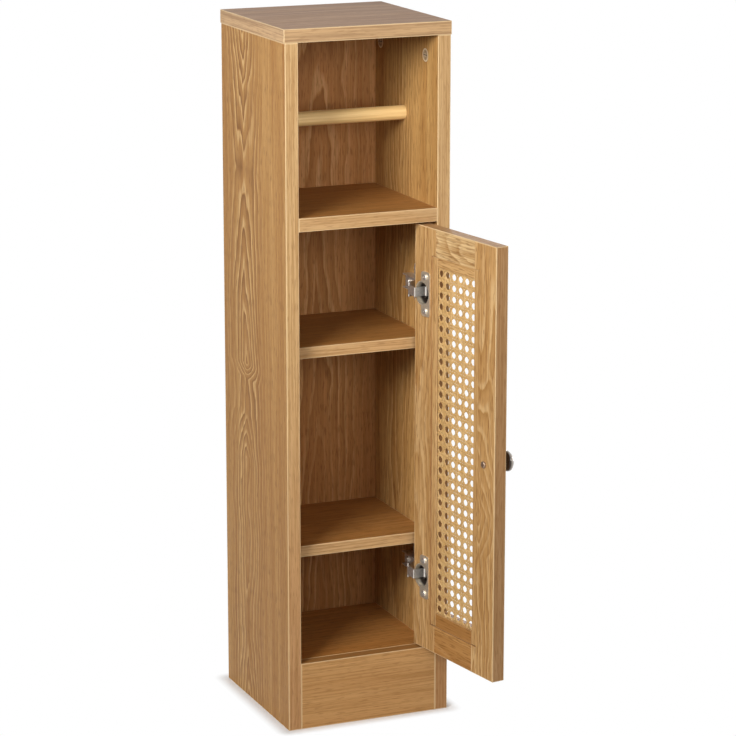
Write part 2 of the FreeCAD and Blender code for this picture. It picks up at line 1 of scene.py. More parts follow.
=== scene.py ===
"""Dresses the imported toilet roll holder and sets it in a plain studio.

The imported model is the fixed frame. The boards, the rod and the fittings keep
their CAD shapes and get procedural finishes. The woven cane and the beads that
hold it in the door are modelled here. All lengths are metres.
"""

import logging
import math
from contextlib import contextmanager
from dataclasses import dataclass, field, replace
from enum import Enum
from typing import Callable, Dict, Iterator, List, Optional, Sequence, Tuple, Union

import bmesh
import bpy
from mathutils import Matrix, Vector


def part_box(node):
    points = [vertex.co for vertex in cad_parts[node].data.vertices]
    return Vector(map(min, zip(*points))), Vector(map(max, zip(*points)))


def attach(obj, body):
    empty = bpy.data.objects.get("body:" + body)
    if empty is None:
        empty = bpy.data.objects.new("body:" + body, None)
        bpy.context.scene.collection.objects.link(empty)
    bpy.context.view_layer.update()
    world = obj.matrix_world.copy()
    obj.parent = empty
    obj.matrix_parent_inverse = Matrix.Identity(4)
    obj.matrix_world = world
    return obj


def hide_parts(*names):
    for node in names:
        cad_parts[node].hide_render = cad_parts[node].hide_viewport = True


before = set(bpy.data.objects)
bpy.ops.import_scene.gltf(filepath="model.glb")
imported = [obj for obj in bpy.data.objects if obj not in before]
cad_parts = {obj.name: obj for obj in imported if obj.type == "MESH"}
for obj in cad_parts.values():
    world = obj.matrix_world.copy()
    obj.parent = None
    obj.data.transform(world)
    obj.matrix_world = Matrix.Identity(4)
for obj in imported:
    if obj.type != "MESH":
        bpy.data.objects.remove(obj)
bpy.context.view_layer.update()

LOG = logging.getLogger("toilet_roll_holder")
MM = 0.001
TINY = 0.01 * MM
# The door's hinge axis and its angle at rest.
HINGE = Vector((70.8 * MM, 5.4 * MM, 0.0))
DOOR_OPEN_ANGLE = math.radians(98.8)
# The opening of the closed door: half of its width, and the heights of its edges.
OPENING_X = 37.8 * MM
OPENING_Z = (125.4 * MM, 517.7 * MM)
# The UV map that runs along the cane's strands.
STRAND_UV = "Strand"

Colour = Tuple[float, float, float]
Socket = bpy.types.NodeSocket
Value = Union[float, Socket]
Paint = Union[Colour, Socket]
Box = Tuple[Vector, Vector]


class Grain(Enum):
    """Axes of a board as (across, through, along), along being the grain."""

    SIDE_PANEL = ("Y", "X", "Z")
    UPRIGHT = ("X", "Y", "Z")
    LYING = ("Y", "Z", "X")
    STANDING = ("Z", "Y", "X")


class Place(Enum):
    """Which body a board belongs to, and so how its own axes lie at rest."""

    CABINET = "cabinet"
    DOOR = "door"


# ---------------------------------------------------------------- node helper


class ShaderGraph:
    """Lays out the nodes of one material."""

    def __init__(self, name: str) -> None:
        """Starts an empty material with a Principled shader.

        Args:
            name: name of the material.
        """
        self.material = bpy.data.materials.new(name)
        self.material.use_nodes = True
        self.tree = self.material.node_tree
        self.tree.nodes.clear()
        self.shader = self.add("ShaderNodeBsdfPrincipled")
        self.surface = self.add("ShaderNodeOutputMaterial").inputs["Surface"]
        self.feed(self.surface, self.shader.outputs["BSDF"])

    def add(self, kind: str, **settings: object) -> bpy.types.Node:
        """Adds a node and sets its properties.

        Args:
            kind: Blender's name of the node type.
            **settings: properties of the node.

        Returns:
            The new node.
        """
        node = self.tree.nodes.new(kind)
        for key, value in settings.items():
            setattr(node, key, value)
        return node

    def feed(self, socket: Socket, value: object) -> None:
        """Links a socket to another, or sets its value.

        Args:
            socket: the input to feed.
            value: an output, or a plain value.
        """
        if isinstance(value, bpy.types.NodeSocket):
            self.tree.links.new(value, socket)
        else:
            socket.default_value = value

    def fed(self, node: bpy.types.Node, *values: object) -> Socket:
        """Feeds a node's inputs in their order.

        Args:
            node: the node.
            *values: numbers or sockets for its inputs.

        Returns:
            The node's first output.
        """
        for socket, value in zip(node.inputs, values):
            self.feed(socket, value)
        return node.outputs[0]

    def math(self, operation: str, *values: Value, clamp: bool = False) -> Socket:
        """Adds a Math node.

        Args:
            operation: Blender's name of the operation.
            *values: numbers or sockets for its inputs.
            clamp: whether the result stays between 0 and 1.

        Returns:
            The result.
        """
        return self.fed(self.add("ShaderNodeMath", operation=operation, use_clamp=clamp), *values)

    def hypot(self, a: Socket, b: Socket) -> Socket:
        """Returns the distance that two distances at right angles make."""
        squares = [self.math("MULTIPLY", side, side) for side in (a, b)]
        return self.math("SQRT", self.math("ADD", *squares))

    def object_point(self) -> Socket:
        """Returns the point in the object's own coordinates."""
        return self.add("ShaderNodeTexCoord").outputs["Object"]

    def object_normal(self) -> Socket:
        """Returns the surface's normal in the object's own coordinates."""
        return self.add("ShaderNodeTexCoord").outputs["Normal"]

    def uv_point(self, layer: str) -> Socket:
        """Returns the point in one of the piece's own UV maps."""
        return self.add("ShaderNodeUVMap", uv_map=layer).outputs["UV"]

    def closed(self, vector: Socket, centre: Vector = HINGE) -> Socket:
        """Turns a vector on the open door to where it is with the door closed.

        Args:
            vector: a point, or a direction if the centre is the origin.
            centre: a point on the upright axis of the turn.

        Returns:
            The turned vector.
        """
        node = self.add("ShaderNodeVectorRotate", rotation_type="Z_AXIS")
        self.feed(node.inputs["Vector"], vector)
        node.inputs["Center"].default_value = centre
        node.inputs["Angle"].default_value = -DOOR_OPEN_ANGLE
        return node.outputs[0]

    def split(self, vector: Socket) -> Dict[str, Socket]:
        """Takes a vector apart.

        Args:
            vector: the vector.

        Returns:
            Its three parts by axis name.
        """
        node = self.add("ShaderNodeSeparateXYZ")
        self.fed(node, vector)
        return {axis: node.outputs[axis] for axis in "XYZ"}

    def join(self, *parts: Value) -> Socket:
        """Returns a vector made of three parts."""
        return self.fed(self.add("ShaderNodeCombineXYZ"), *parts)

    def noise(self, vector: Socket, scale: float, detail: float,
              roughness: float = 0.5) -> Socket:
        """Adds a Noise Texture.

        Args:
            vector: where it is read.
            scale: how many lumps there are in one unit.
            detail: how many finer layers it has.
            roughness: how strong the finer layers are.

        Returns:
            The noise, about 0.5 on average.
        """
        node = self.add("ShaderNodeTexNoise")
        self.feed(node.inputs["Vector"], vector)
        node.inputs["Scale"].default_value = scale
        node.inputs["Detail"].default_value = detail
        node.inputs["Roughness"].default_value = roughness
        return node.outputs["Fac"]

    def fade(self, value: Value, low: float, high: float, start: float = 0.0,
             end: float = 1.0) -> Socket:
        """Adds a smooth Map Range.

        Args:
            value: what is read.
            low: the value that gives start.
            high: the value that gives end.
            start: the result at low.
            end: the result at high.

        Returns:
            The result.
        """
        node = self.add("ShaderNodeMapRange", interpolation_type="SMOOTHSTEP")
        return self.fed(node, value, low, high, start, end)

    def ramp(self, value: Value, stops: Sequence[Tuple[float, float]]) -> Socket:
        """Adds a Color Ramp in greys.

        Args:
            value: what is read.
            stops: pairs of place and grey.

        Returns:
            The grey.
        """
        node = self.add("ShaderNodeValToRGB")
        elements = node.color_ramp.elements
        while len(elements) < len(stops):
            elements.new(0.5)
        for element, (place, grey) in zip(elements, stops):
            element.position = place
            element.color = (grey, grey, grey, 1.0)
        return self.fed(node, value)

    def blend(self, amount: Value, under: Paint, over: Paint) -> Socket:
        """Mixes two colours.

        Args:
            amount: how much of the second colour there is.
            under: the first colour.
            over: the second colour.

        Returns:
            The mixed colour.
        """
        node = self.add("ShaderNodeMix", data_type="RGBA")
        for socket, value in zip((node.inputs[0], node.inputs[6], node.inputs[7]),
                                 (amount, under, over)):
            self.feed(socket, (*value, 1.0) if isinstance(value, tuple) else value)
        return node.outputs[2]

    def emboss(self, height: Socket, depth: float, strength: float) -> None:
        """Gives the shader a bumped normal.

        Args:
            height: height of the surface from 0 to 1.
            depth: what a height of 1 is in metres.
            strength: how much of it shows.
        """
        node = self.add("ShaderNodeBump")
        node.inputs["Strength"].default_value = strength
        node.inputs["Distance"].default_value = depth
        self.feed(node.inputs["Height"], height)
        self.feed(self.shader.inputs["Normal"], node.outputs[0])

    def set(self, **values: object) -> None:
        """Sets or links the shader's sockets, named with _ for a space."""
        for key, value in values.items():
            self.feed(self.shader.inputs[key.replace("_", " ")], value)


# ------------------------------------------------------------------- finishes


@dataclass(frozen=True)
class Streak:
    """A noise that is drawn out along the grain.

    Attributes:
        scales: how many lumps there are in a metre across, through and along the grain.
        shift: shift of the noise.
        detail: how many finer layers it has.
        roughness: how strong the finer layers are.
        tone: two values of the noise, and the streak's amount at each.
    """

    scales: Tuple[float, float, float]
    shift: float = 0.0
    detail: float = 2.0
    roughness: float = 0.5
    tone: Tuple[float, ...] = (0.3, 0.7)

    def draw(self, graph: ShaderGraph, parts: Sequence[Socket], seed: float = 0.0) -> Socket:
        """Adds the noise.

        Args:
            graph: the material's nodes.
            parts: the place across, through and along the grain.
            seed: further shift of the noise.

        Returns:
            The noise, about 0.5 on average.
        """
        first, *others = [graph.math("MULTIPLY", part, scale)
                          for part, scale in zip(parts, self.scales)]
        vector = graph.join(graph.math("ADD", first, seed + self.shift), *others)
        return graph.noise(vector, 1.0, self.detail, self.roughness)

    def amount(self, graph: ShaderGraph, noise: Socket) -> Socket:
        """Returns how much of the streak there is where the noise has a value."""
        return graph.fade(noise, *self.tone)


# The oak's streaks, and what moves and weakens its rings.
BROAD = Streak((55, 55, 1.8), 3.0, 3.0, 0.6, (0.3, 0.66))
FIBRE = Streak((520, 520, 8), 0.0, 2.0, 0.6, (0.36, 0.6, 0.48, 0.0))
PORES = Streak((760, 760, 74), 7.0, 1.0, 0.5, (0.53, 0.68, 0.0, 0.5))
SWAY = Streak((7.0, 0.0, 0.0), 11.0)
SWAY_WIDTH = 30 * MM
RING_WEIGHT = Streak((30, 30, 5), 13.0, 1.0, 0.5, (0.34, 0.6, 0.35, 1.0))
# Waves of the rings, with how many ring widths each of them moves a ring.
RING_WAVES = ((1.75, Streak((22, 22, 1.8), 5.0)), (1.5, Streak((48, 48, 11), 15.0)),
              (0.375, Streak((220, 220, 14), 9.0)))
# One ring from side to side, from 0 where it is darkest to 1 where it is lightest.
RING_PROFILE = ((0.0, 0.8), (0.1, 0.5), (0.38, 0.4), (0.7, 0.0), (0.78, 0.95), (0.9, 1.0),
                (1.0, 0.8))
# How far the arches' tips are rounded, how they fade beside the heart, and how strong
# they are where a board is calm.
ARCH_TIP = 3 * MM
HEART_FADE = (20 * MM, 65 * MM, 1.0, 0.2)
CALM = 0.8
# How squarely a face looks along the grain, and how little through the board.
END_FACE = (0.6, 0.8)
OFF_MAIN = (0.55, 0.8, 1.0, 0.0)
# How much the rings stand out and the pores sink in.
RING_RELIEF = 0.3
PORE_RELIEF = 0.9
# Share of the pores on a board's edges, heights between which the painted shade on the edge
# bands fades out, reach of the painted highlight line, and how far a plain face is moved off.
EDGE_PORES = 0.55
FOOT_SHADE_HEIGHTS = (0.06, 0.5)
CORNER_HIGHLIGHT = (0.5 * MM, 1.2 * MM, 1.0, 0.0)
FAR = 1.0
# Where most values of a noise lie, for the roughness of the oak, the cane and the metal.
OAK_SPAN = (0.3, 0.7)
CANE_SPAN = (0.35, 0.7)
METAL_SPAN = (0.3, 0.75)
# The turned wood's and the cane's streaks.
ROD_GRAIN = Streak((420, 420, 6), 0.0, 3.0, 0.6)
ROD_FLECKS = Streak((1500, 1500, 40), 4.0, 1.0, 0.5, (0.6, 0.74, 0.0, 0.45))
CANE_LINES = Streak((3200, 24, 1), 0.0, 2.0, 0.5, (0.5, 0.72, 0.0, 0.35))
CANE_BLOTCH = Streak((60, 34, 1), 3.0, 3.0, 0.6, (0.32, 0.72))
CANE_BURNS = (0.3, 0.2, 0.0, 0.5)
# The metal's haze as detail and roughness, where it dulls the colour or varies the painted
# highlight on a cam's rim, and how much finer the grit is.
HAZE = (3.0, 0.6)
DULL = (0.35, 0.7)
RIM_HIGHLIGHT_HAZE = (0.3, 0.6, 0.6, 1.0)
GRIT = 9


@dataclass(frozen=True)
class BoardCut:
    """How a board's figure lies: where the heart of the log runs below it.

    Attributes:
        grain: the board's axes.
        heart: place of the heart across the board.
        bends: pairs in millimetres, of a place along the grain and the depth of
            the heart below the board's middle there.
        seed: shift of the noise, so that no two boards are alike.
        figure: how strong the arches are.
        plain: faces whose edges have no painted highlight line, such as -X or +Z.
        calm: two places along the grain in millimetres, between which the figure
            gets from calm to full.
    """

    grain: Grain
    heart: float = 0.0
    bends: Tuple[Tuple[float, float], ...] = ((-100, 70), (800, 90))
    seed: float = 0.0
    figure: float = 0.5
    plain: Tuple[str, ...] = ()
    calm: Tuple[float, ...] = ()


@dataclass(frozen=True)
class OakFinish:
    """Satin oak-look board: arched figure, fibres, pores, banded edges, painted edge highlights.

    Attributes:
        base: colour of the wood.
        deep: colour of its broad darker streaks.
        light: colour of the lightest rings.
        fibre: colour of the fibres.
        shade: colour of the darkest rings.
        pore: colour of the pores.
        band: colour of the edge bands.
        band_foot_shade: colour of the edge bands near the floor with painted shade, if set.
        corner_highlight: colour of the painted highlight, a thin light line along the corners.
        band_amount: how much the bands cover.
        corner_highlight_amount: how much the painted highlight covers.
        ring_width: width of a ring.
        arch_width: how far beside the heart the arches bend.
        ring_light: how much the lightest rings cover.
        ring_shade: how much the darkest rings cover.
        rough: roughness in the fibres and between them.
        shine: level of the reflections.
    """

    base: Colour
    deep: Colour
    light: Colour = (0.740, 0.495, 0.225)
    fibre: Colour = (0.300, 0.135, 0.034)
    shade: Colour = (0.215, 0.085, 0.018)
    pore: Colour = (0.170, 0.066, 0.015)
    band: Colour = (0.660, 0.450, 0.230)
    band_foot_shade: Optional[Colour] = None
    corner_highlight: Colour = (0.780, 0.580, 0.330)
    band_amount: float = 0.6
    corner_highlight_amount: float = 0.6
    ring_width: float = 8 * MM
    arch_width: float = 28 * MM
    ring_light: float = 0.5
    ring_shade: float = 0.75
    rough: Tuple[float, float] = (0.54, 0.44)
    shine: float = 0.2

    def material(self, name: str, cut: BoardCut, box: Box, place: Place) -> bpy.types.Material:
        """Makes the finish for one board.

        Args:
            name: name of the material.
            cut: how the board's figure lies.
            box: the board's corners, with the door closed.
            place: the body that the board belongs to.

        Returns:
            The material.
        """
        graph = ShaderGraph(name)
        point, normal = graph.object_point(), graph.object_normal()
        if place is Place.DOOR:
            point, normal = graph.closed(point), graph.closed(normal, Vector())
        spot, facing = graph.split(point), graph.split(normal)
        across, through, along = cut.grain.value
        end_face = graph.fade(graph.math("ABSOLUTE", facing[along]), *END_FACE)
        off_main = graph.fade(graph.math("ABSOLUTE", facing[through]), *OFF_MAIN)
        u = self._swap(graph, spot[across], spot[along], end_face)
        w = self._swap(graph, spot[along], spot[across], end_face)
        v = spot[through]

        axis = "XYZ".index(through)
        middle = (box[0][axis] + box[1][axis]) / 2
        figure = self._figure(graph, cut, u, graph.math("SUBTRACT", v, middle), w)
        broad, fibre, pores = [streak.draw(graph, (u, v, w), cut.seed)
                               for streak in (BROAD, FIBRE, PORES)]

        colour = graph.blend(BROAD.amount(graph, broad), self.deep, self.base)
        for share, ring in ((self.ring_light, self.light), (-self.ring_shade, self.shade)):
            amount = graph.math("MULTIPLY", figure, cut.figure * share, clamp=True)
            colour = graph.blend(amount, colour, ring)
        band: Paint = self.band
        # Painted shade: the edge bands darken towards the floor, where less light falls.
        if self.band_foot_shade:
            band = graph.blend(graph.fade(spot["Z"], *FOOT_SHADE_HEIGHTS), self.band_foot_shade, band)
        colour = graph.blend(graph.math("MULTIPLY", off_main, self.band_amount), colour, band)
        colour = graph.blend(FIBRE.amount(graph, fibre), colour, self.fibre)
        pore_share = graph.math("MULTIPLY_ADD", off_main, EDGE_PORES - 1.0, 1.0)
        pore_mask = graph.math("MULTIPLY", PORES.amount(graph, pores), pore_share)
        colour = graph.blend(pore_mask, colour, self.pore)
        # Painted highlight: a thin light line along the board's corners.
        line = self._corner_highlight(graph, spot, box, cut.plain)
        colour = graph.blend(graph.math("MULTIPLY", line, self.corner_highlight_amount), colour, self.corner_highlight)

        graph.set(Base_Color=colour, Specular_IOR_Level=self.shine,
                  Roughness=graph.fade(fibre, *OAK_SPAN, *self.rough))
        relief = graph.math("SUBTRACT", graph.math("MULTIPLY", figure, RING_RELIEF),
                            graph.math("MULTIPLY", pore_mask, PORE_RELIEF))
        graph.emboss(relief, depth=0.12 * MM, strength=0.5)
        return graph.material

    @staticmethod
    def _swap(graph: ShaderGraph, usual: Socket, other: Socket, amount: Socket) -> Socket:
        """Returns the usual part, or the other one on a board's end."""
        step = graph.math("SUBTRACT", other, usual)
        return graph.math("MULTIPLY_ADD", step, amount, usual)

    def _figure(self, graph: ShaderGraph, cut: BoardCut, u: Socket, v: Socket,
                w: Socket) -> Socket:
        """Draws the growth rings that a flat cut shows as arches.

        Args:
            graph: the material's nodes.
            cut: how the board's figure lies.
            u: place across the board.
            v: place through the board, from its middle.
            w: place along the grain.

        Returns:
            The figure, 1 where a ring is lightest and below 0 where it is dark.
        """
        sway = SWAY.draw(graph, (w, w, w), cut.seed)
        sway = graph.math("MULTIPLY_ADD", sway, SWAY_WIDTH, -SWAY_WIDTH / 2 - cut.heart)
        side = graph.math("ADD", u, sway)
        start, end = cut.bends[0][0] * MM, cut.bends[-1][0] * MM
        deepest = max(depth for _, depth in cut.bends) * MM
        share = graph.math("DIVIDE", graph.math("SUBTRACT", w, start), end - start)
        depth = graph.ramp(share, [((place * MM - start) / (end - start), below * MM / deepest)
                                   for place, below in cut.bends])
        depth = graph.math("MULTIPLY_ADD", depth, deepest, v)
        square = graph.math("MULTIPLY", side, side)
        shoulder = graph.math("MULTIPLY_ADD", square, 1 / self.arch_width ** 2, 1.0)
        reach = graph.math("ADD", graph.math("SQRT", graph.math("ADD", square, ARCH_TIP ** 2)),
                           graph.math("DIVIDE", depth, shoulder))
        for rings, wave in RING_WAVES:
            reach = graph.math("MULTIPLY_ADD", wave.draw(graph, (u, v, w), cut.seed),
                               rings * self.ring_width, reach)
        ring = graph.math("FRACT", graph.math("DIVIDE", reach, self.ring_width))
        figure = graph.math("MULTIPLY_ADD", graph.ramp(ring, RING_PROFILE), 2.0, -1.0)
        weight = RING_WEIGHT.draw(graph, (u, v, w), cut.seed)
        strengths = [graph.fade(graph.math("ABSOLUTE", side), *HEART_FADE),
                     RING_WEIGHT.amount(graph, weight)]
        if cut.calm:
            calm, full = cut.calm
            strengths.append(graph.fade(w, calm * MM, full * MM, CALM, 1.0))
        for strength in strengths:
            figure = graph.math("MULTIPLY", figure, strength)
        return figure

    @staticmethod
    def _corner_highlight(graph: ShaderGraph, spot: Dict[str, Socket], box: Box,
                     plain: Sequence[str]) -> Socket:
        """Finds the painted highlight, a thin light line along a board's corners.

        Args:
            graph: the material's nodes.
            spot: the point, with the door closed.
            box: the board's corners.
            plain: faces whose edges have no line.

        Returns:
            The line from 0 to 1.
        """
        gaps = []
        for axis, low, high in zip("XYZ", *box):
            low -= FAR if "-" + axis in plain else 0.0
            high += FAR if "+" + axis in plain else 0.0
            away = graph.math("SUBTRACT", spot[axis], (low + high) / 2)
            gaps.append(graph.math("SUBTRACT", (high - low) / 2, graph.math("ABSOLUTE", away)))
        first, second, third = gaps
        lesser = graph.math("MINIMUM", first, second)
        greater = graph.math("MAXIMUM", first, second)
        middle = graph.math("MAXIMUM", lesser, graph.math("MINIMUM", greater, third))
        return graph.fade(middle, *CORNER_HIGHLIGHT)


@dataclass(frozen=True)
class TurnedWoodFinish:
    """Pale turned wood with fine straight grain, for the rod and the dowels."""

    pale: Colour = (0.820, 0.590, 0.275)
    deep: Colour = (0.640, 0.420, 0.170)
    rough: Tuple[float, float] = (0.56, 0.44)

    def material(self, name: str) -> bpy.types.Material:
        """Makes the finish with its grain along X.

        Args:
            name: name of the material.

        Returns:
            The material.
        """
        graph = ShaderGraph(name)
        spot = graph.split(graph.object_point())
        parts = (spot["Y"], spot["Z"], spot["X"])
        streak, fleck = ROD_GRAIN.draw(graph, parts), ROD_FLECKS.draw(graph, parts)
        colour = graph.blend(ROD_GRAIN.amount(graph, streak), self.deep, self.pale)
        colour = graph.blend(ROD_FLECKS.amount(graph, fleck), colour, self.deep)
        graph.set(Base_Color=colour, Roughness=graph.fade(streak, *OAK_SPAN, *self.rough))
        graph.emboss(streak, depth=0.08 * MM, strength=0.4)
        return graph.material


@dataclass(frozen=True)
class CaneFinish:
    """Split cane: glossy straw strands with fine lines along them."""

    straw: Colour = (0.520, 0.305, 0.105)
    pale: Colour = (0.680, 0.455, 0.205)
    burnt: Colour = (0.330, 0.165, 0.050)
    rough: Tuple[float, float] = (0.35, 0.52)

    def material(self, name: str) -> bpy.types.Material:
        """Makes the finish, which follows each strand by its UV map.

        Args:
            name: name of the material.

        Returns:
            The material.
        """
        graph = ShaderGraph(name)
        run = graph.split(graph.uv_point(STRAND_UV))
        parts = (run["X"], run["Y"], run["Z"])
        lines, blotch = CANE_LINES.draw(graph, parts), CANE_BLOTCH.draw(graph, parts)
        colour = graph.blend(CANE_BLOTCH.amount(graph, blotch), self.straw, self.pale)
        colour = graph.blend(CANE_LINES.amount(graph, lines), colour, self.burnt)
        colour = graph.blend(graph.fade(blotch, *CANE_BURNS), colour, self.burnt)
        graph.set(Base_Color=colour, Roughness=graph.fade(lines, *CANE_SPAN, *self.rough))
        graph.emboss(lines, depth=0.05 * MM, strength=0.5)
        return graph.material


@dataclass(frozen=True)
class MetalFinish:
    """Plated metal with a fine uneven sheen.

    Attributes:
        clean: colour of the plating.
        dull: colour where it is thin or handled.
        rough: roughness where it is shiniest and where it is dullest.
        lump: how many lumps of haze there are in a metre.
        metal: share of the plain metal sheen.
        painted_shade: colour of the painted shade at the dark end of a piece of the door.
    """

    clean: Colour
    dull: Colour
    rough: Tuple[float, float]
    lump: float
    metal: float
    painted_shade: Colour = (0.035, 0.026, 0.020)

    def material(self, name: str,
                 painted_shade_depths: Optional[Tuple[float, float]] = None) -> bpy.types.Material:
        """Makes the finish.

        Args:
            name: name of the material.
            painted_shade_depths: for a piece of the door, where its painted shade is full
            and where it has faded out, counted from the closed door's front to the back.

        Returns:
            The material.
        """
        graph = ShaderGraph(name)
        point = graph.object_point()
        cloud = graph.noise(point, self.lump, *HAZE)
        grit = graph.noise(point, self.lump * GRIT, 1.0)
        colour = graph.blend(graph.fade(cloud, *DULL), self.clean, self.dull)
        metal: Value = self.metal
        # Painted shade: a piece of the door darkens and loses its sheen towards one end, deep in a
        # hinge cup and at the knob's foot.
        if painted_shade_depths:
            painted_shade_amount = graph.fade(graph.split(graph.closed(point))["Y"], *painted_shade_depths, 1.0, 0.0)
            colour = graph.blend(painted_shade_amount, colour, self.painted_shade)
            metal = graph.math("MULTIPLY", graph.math("SUBTRACT", 1.0, painted_shade_amount), self.metal)
        graph.set(Base_Color=colour, Metallic=metal,
                  Roughness=graph.fade(cloud, *METAL_SPAN, *self.rough))
        graph.emboss(grit, depth=0.01 * MM, strength=0.3)
        return graph.material


@dataclass(frozen=True)
class CamFinish:
    """Cast cam lock: a dull face, painted highlight on the rim and hub, painted shade in the
    recess.

    Attributes:
        face: colour of the face.
        rim: colour of the painted highlight on the rim and hub.
        recess: colour of the painted shade in the cross recess.
        places_y: how far back the two cams of a side panel lie.
        height: height of the cams.
        rim_radii: where the rim begins, and where it is full.
        hub_radii: where the hub is full, and where it ends.
        hub_highlight_amount: how strong the painted highlight on the hub is beside the rim's.
        recess_x: how far from the cabinet's middle the painted shade of the recess begins and is
            full.
        lump: how many lumps of haze there are in a metre.
        metal: share of the plain metal sheen.
        rough: roughness where it is shiniest and where it is dullest.
    """

    face: Colour = (0.46, 0.33, 0.19)
    rim: Colour = (0.92, 0.78, 0.55)
    recess: Colour = (0.06, 0.036, 0.018)
    places_y: Tuple[float, float] = (34 * MM, 157 * MM)
    height: float = 739.5 * MM
    rim_radii: Tuple[float, float] = (5.4 * MM, 6.2 * MM)
    hub_radii: Tuple[float, float] = (2.2 * MM, 3.0 * MM)
    hub_highlight_amount: float = 0.55
    recess_x: Tuple[float, float] = (81.05 * MM, 81.4 * MM)
    lump: float = 420.0
    metal: float = 0.35
    rough: Tuple[float, float] = (0.32, 0.5)

    def material(self, name: str) -> bpy.types.Material:
        """Makes the finish.

        Args:
            name: name of the material.

        Returns:
            The material.
        """
        graph = ShaderGraph(name)
        point = graph.object_point()
        spot = graph.split(point)
        front, rear = self.places_y
        away_y = graph.math("ABSOLUTE", graph.math("SUBTRACT", spot["Y"], (front + rear) / 2))
        away = graph.hypot(graph.math("SUBTRACT", away_y, (rear - front) / 2),
                           graph.math("SUBTRACT", spot["Z"], self.height))
        cloud = graph.noise(point, self.lump, *HAZE)
        # Painted highlight on the rim and the hub.
        rim = graph.math("MULTIPLY", graph.fade(away, *self.rim_radii), graph.fade(cloud, *RIM_HIGHLIGHT_HAZE))
        hub = graph.fade(away, *self.hub_radii, self.hub_highlight_amount, 0.0)
        colour = graph.blend(graph.math("MAXIMUM", rim, hub), self.face, self.rim)
        # Painted shade in the cross recess.
        recess_shade_amount = graph.fade(graph.math("ABSOLUTE", spot["X"]), *self.recess_x)
        colour = graph.blend(recess_shade_amount, colour, self.recess)
        graph.set(Base_Color=colour, Metallic=self.metal,
                  Roughness=graph.fade(cloud, *METAL_SPAN, *self.rough))
        graph.emboss(cloud, depth=0.03 * MM, strength=0.3)
        return graph.material


OAK_TOP = OakFinish((0.420, 0.225, 0.095), (0.285, 0.142, 0.058), light=(0.50, 0.30, 0.15),
                    fibre=(0.16, 0.072, 0.028), band=(0.600, 0.400, 0.200), band_amount=0.55,
                    shine=0.4)
# Painted shade: the side panels' edge bands are darker near the floor.
OAK_LEFT = OakFinish((0.484, 0.266, 0.087), (0.364, 0.172, 0.045), shade=(0.185, 0.072, 0.014),
                     band_foot_shade=(0.560, 0.315, 0.160), shine=0.12)
# Painted light: the right side panel is lighter than the left, standing in for the light on its
# inner face.
OAK_RIGHT_LIT = OakFinish((0.560, 0.330, 0.115), (0.430, 0.215, 0.062), band=(0.590, 0.395, 0.205),
                      band_foot_shade=(0.390, 0.195, 0.095))
OAK_SHELF = OakFinish((0.420, 0.195, 0.054), (0.340, 0.145, 0.035), light=(0.560, 0.320, 0.115))
# Painted light: the bottom panel is a lighter copy of the shelves' finish, offsetting the shade
# that falls on it.
OAK_FLOOR_LIT = replace(OAK_SHELF, base=(0.510, 0.230, 0.062), deep=(0.415, 0.170, 0.039))
OAK_BACK = OakFinish((0.490, 0.230, 0.080), (0.380, 0.160, 0.048), light=(0.720, 0.450, 0.205))
OAK_PLINTH = OakFinish((0.550, 0.305, 0.115), (0.460, 0.235, 0.080), pore=(0.310, 0.150, 0.048),
                       band=(0.270, 0.115, 0.028), band_amount=0.8)
# Painted light and shade: the bottom rail is darker and the top rail lighter than the stiles, as
# light falls off down the door.
OAK_LOW_RAIL_SHADED = OakFinish((0.500, 0.264, 0.088), (0.375, 0.170, 0.047), band=(0.42, 0.225, 0.10),
                         band_amount=0.75)
OAK_STILE = replace(OAK_LOW_RAIL_SHADED, base=(0.575, 0.352, 0.148), deep=(0.475, 0.266, 0.097),
                    light=(0.740, 0.520, 0.270), shade=(0.330, 0.160, 0.045),
                    ring_width=4 * MM, arch_width=24 * MM)
# Painted light: the top rail is a lighter copy of the stiles' finish.
OAK_TOP_RAIL_LIT = replace(OAK_STILE, base=(0.620, 0.430, 0.212), deep=(0.530, 0.338, 0.146),
                       light=(0.780, 0.570, 0.310), ring_width=7 * MM, arch_width=14 * MM)
# Painted shade: the bottom bead is darker, for the shade in the recess above the bottom rail.
OAK_LOW_BEAD_SHADED = OakFinish((0.400, 0.195, 0.058), (0.310, 0.130, 0.033))
# Painted light: the rod is a lighter copy of the dowels' turned wood, standing in for light bounced
# onto it.
ROD_WOOD_LIT = TurnedWoodFinish(pale=(0.960, 0.690, 0.315), deep=(0.760, 0.500, 0.200))
NICKEL = MetalFinish((0.74, 0.69, 0.63), (0.54, 0.50, 0.45), (0.28, 0.42), 300.0, 0.8)
NICKEL_CUP = MetalFinish((0.90, 0.80, 0.63), (0.76, 0.66, 0.50), (0.30, 0.46), 300.0, 0.75)
ZINC = MetalFinish((0.52, 0.43, 0.32), (0.34, 0.27, 0.19), (0.30, 0.46), 420.0, 0.8)
BRONZE = MetalFinish((0.40, 0.29, 0.21), (0.28, 0.19, 0.13), (0.34, 0.5), 420.0, 0.8)
# Painted reflection: the chrome's colours are darkened, and darkest at the knob's foot, standing in
# for the shaded door and surroundings that it reflects.
CHROME = MetalFinish((0.44, 0.40, 0.36), (0.31, 0.27, 0.23), (0.07, 0.15), 260.0, 1.0,
                     (0.040, 0.022, 0.014))


# ------------------------------------------------------------------ workbench


def door_turn(angle: float) -> Matrix:
    """Returns the turn about the door's hinge axis by an angle in radians."""
    hinge = Matrix.Translation(HINGE)
    return hinge @ Matrix.Rotation(angle, 4, "Z") @ hinge.inverted()


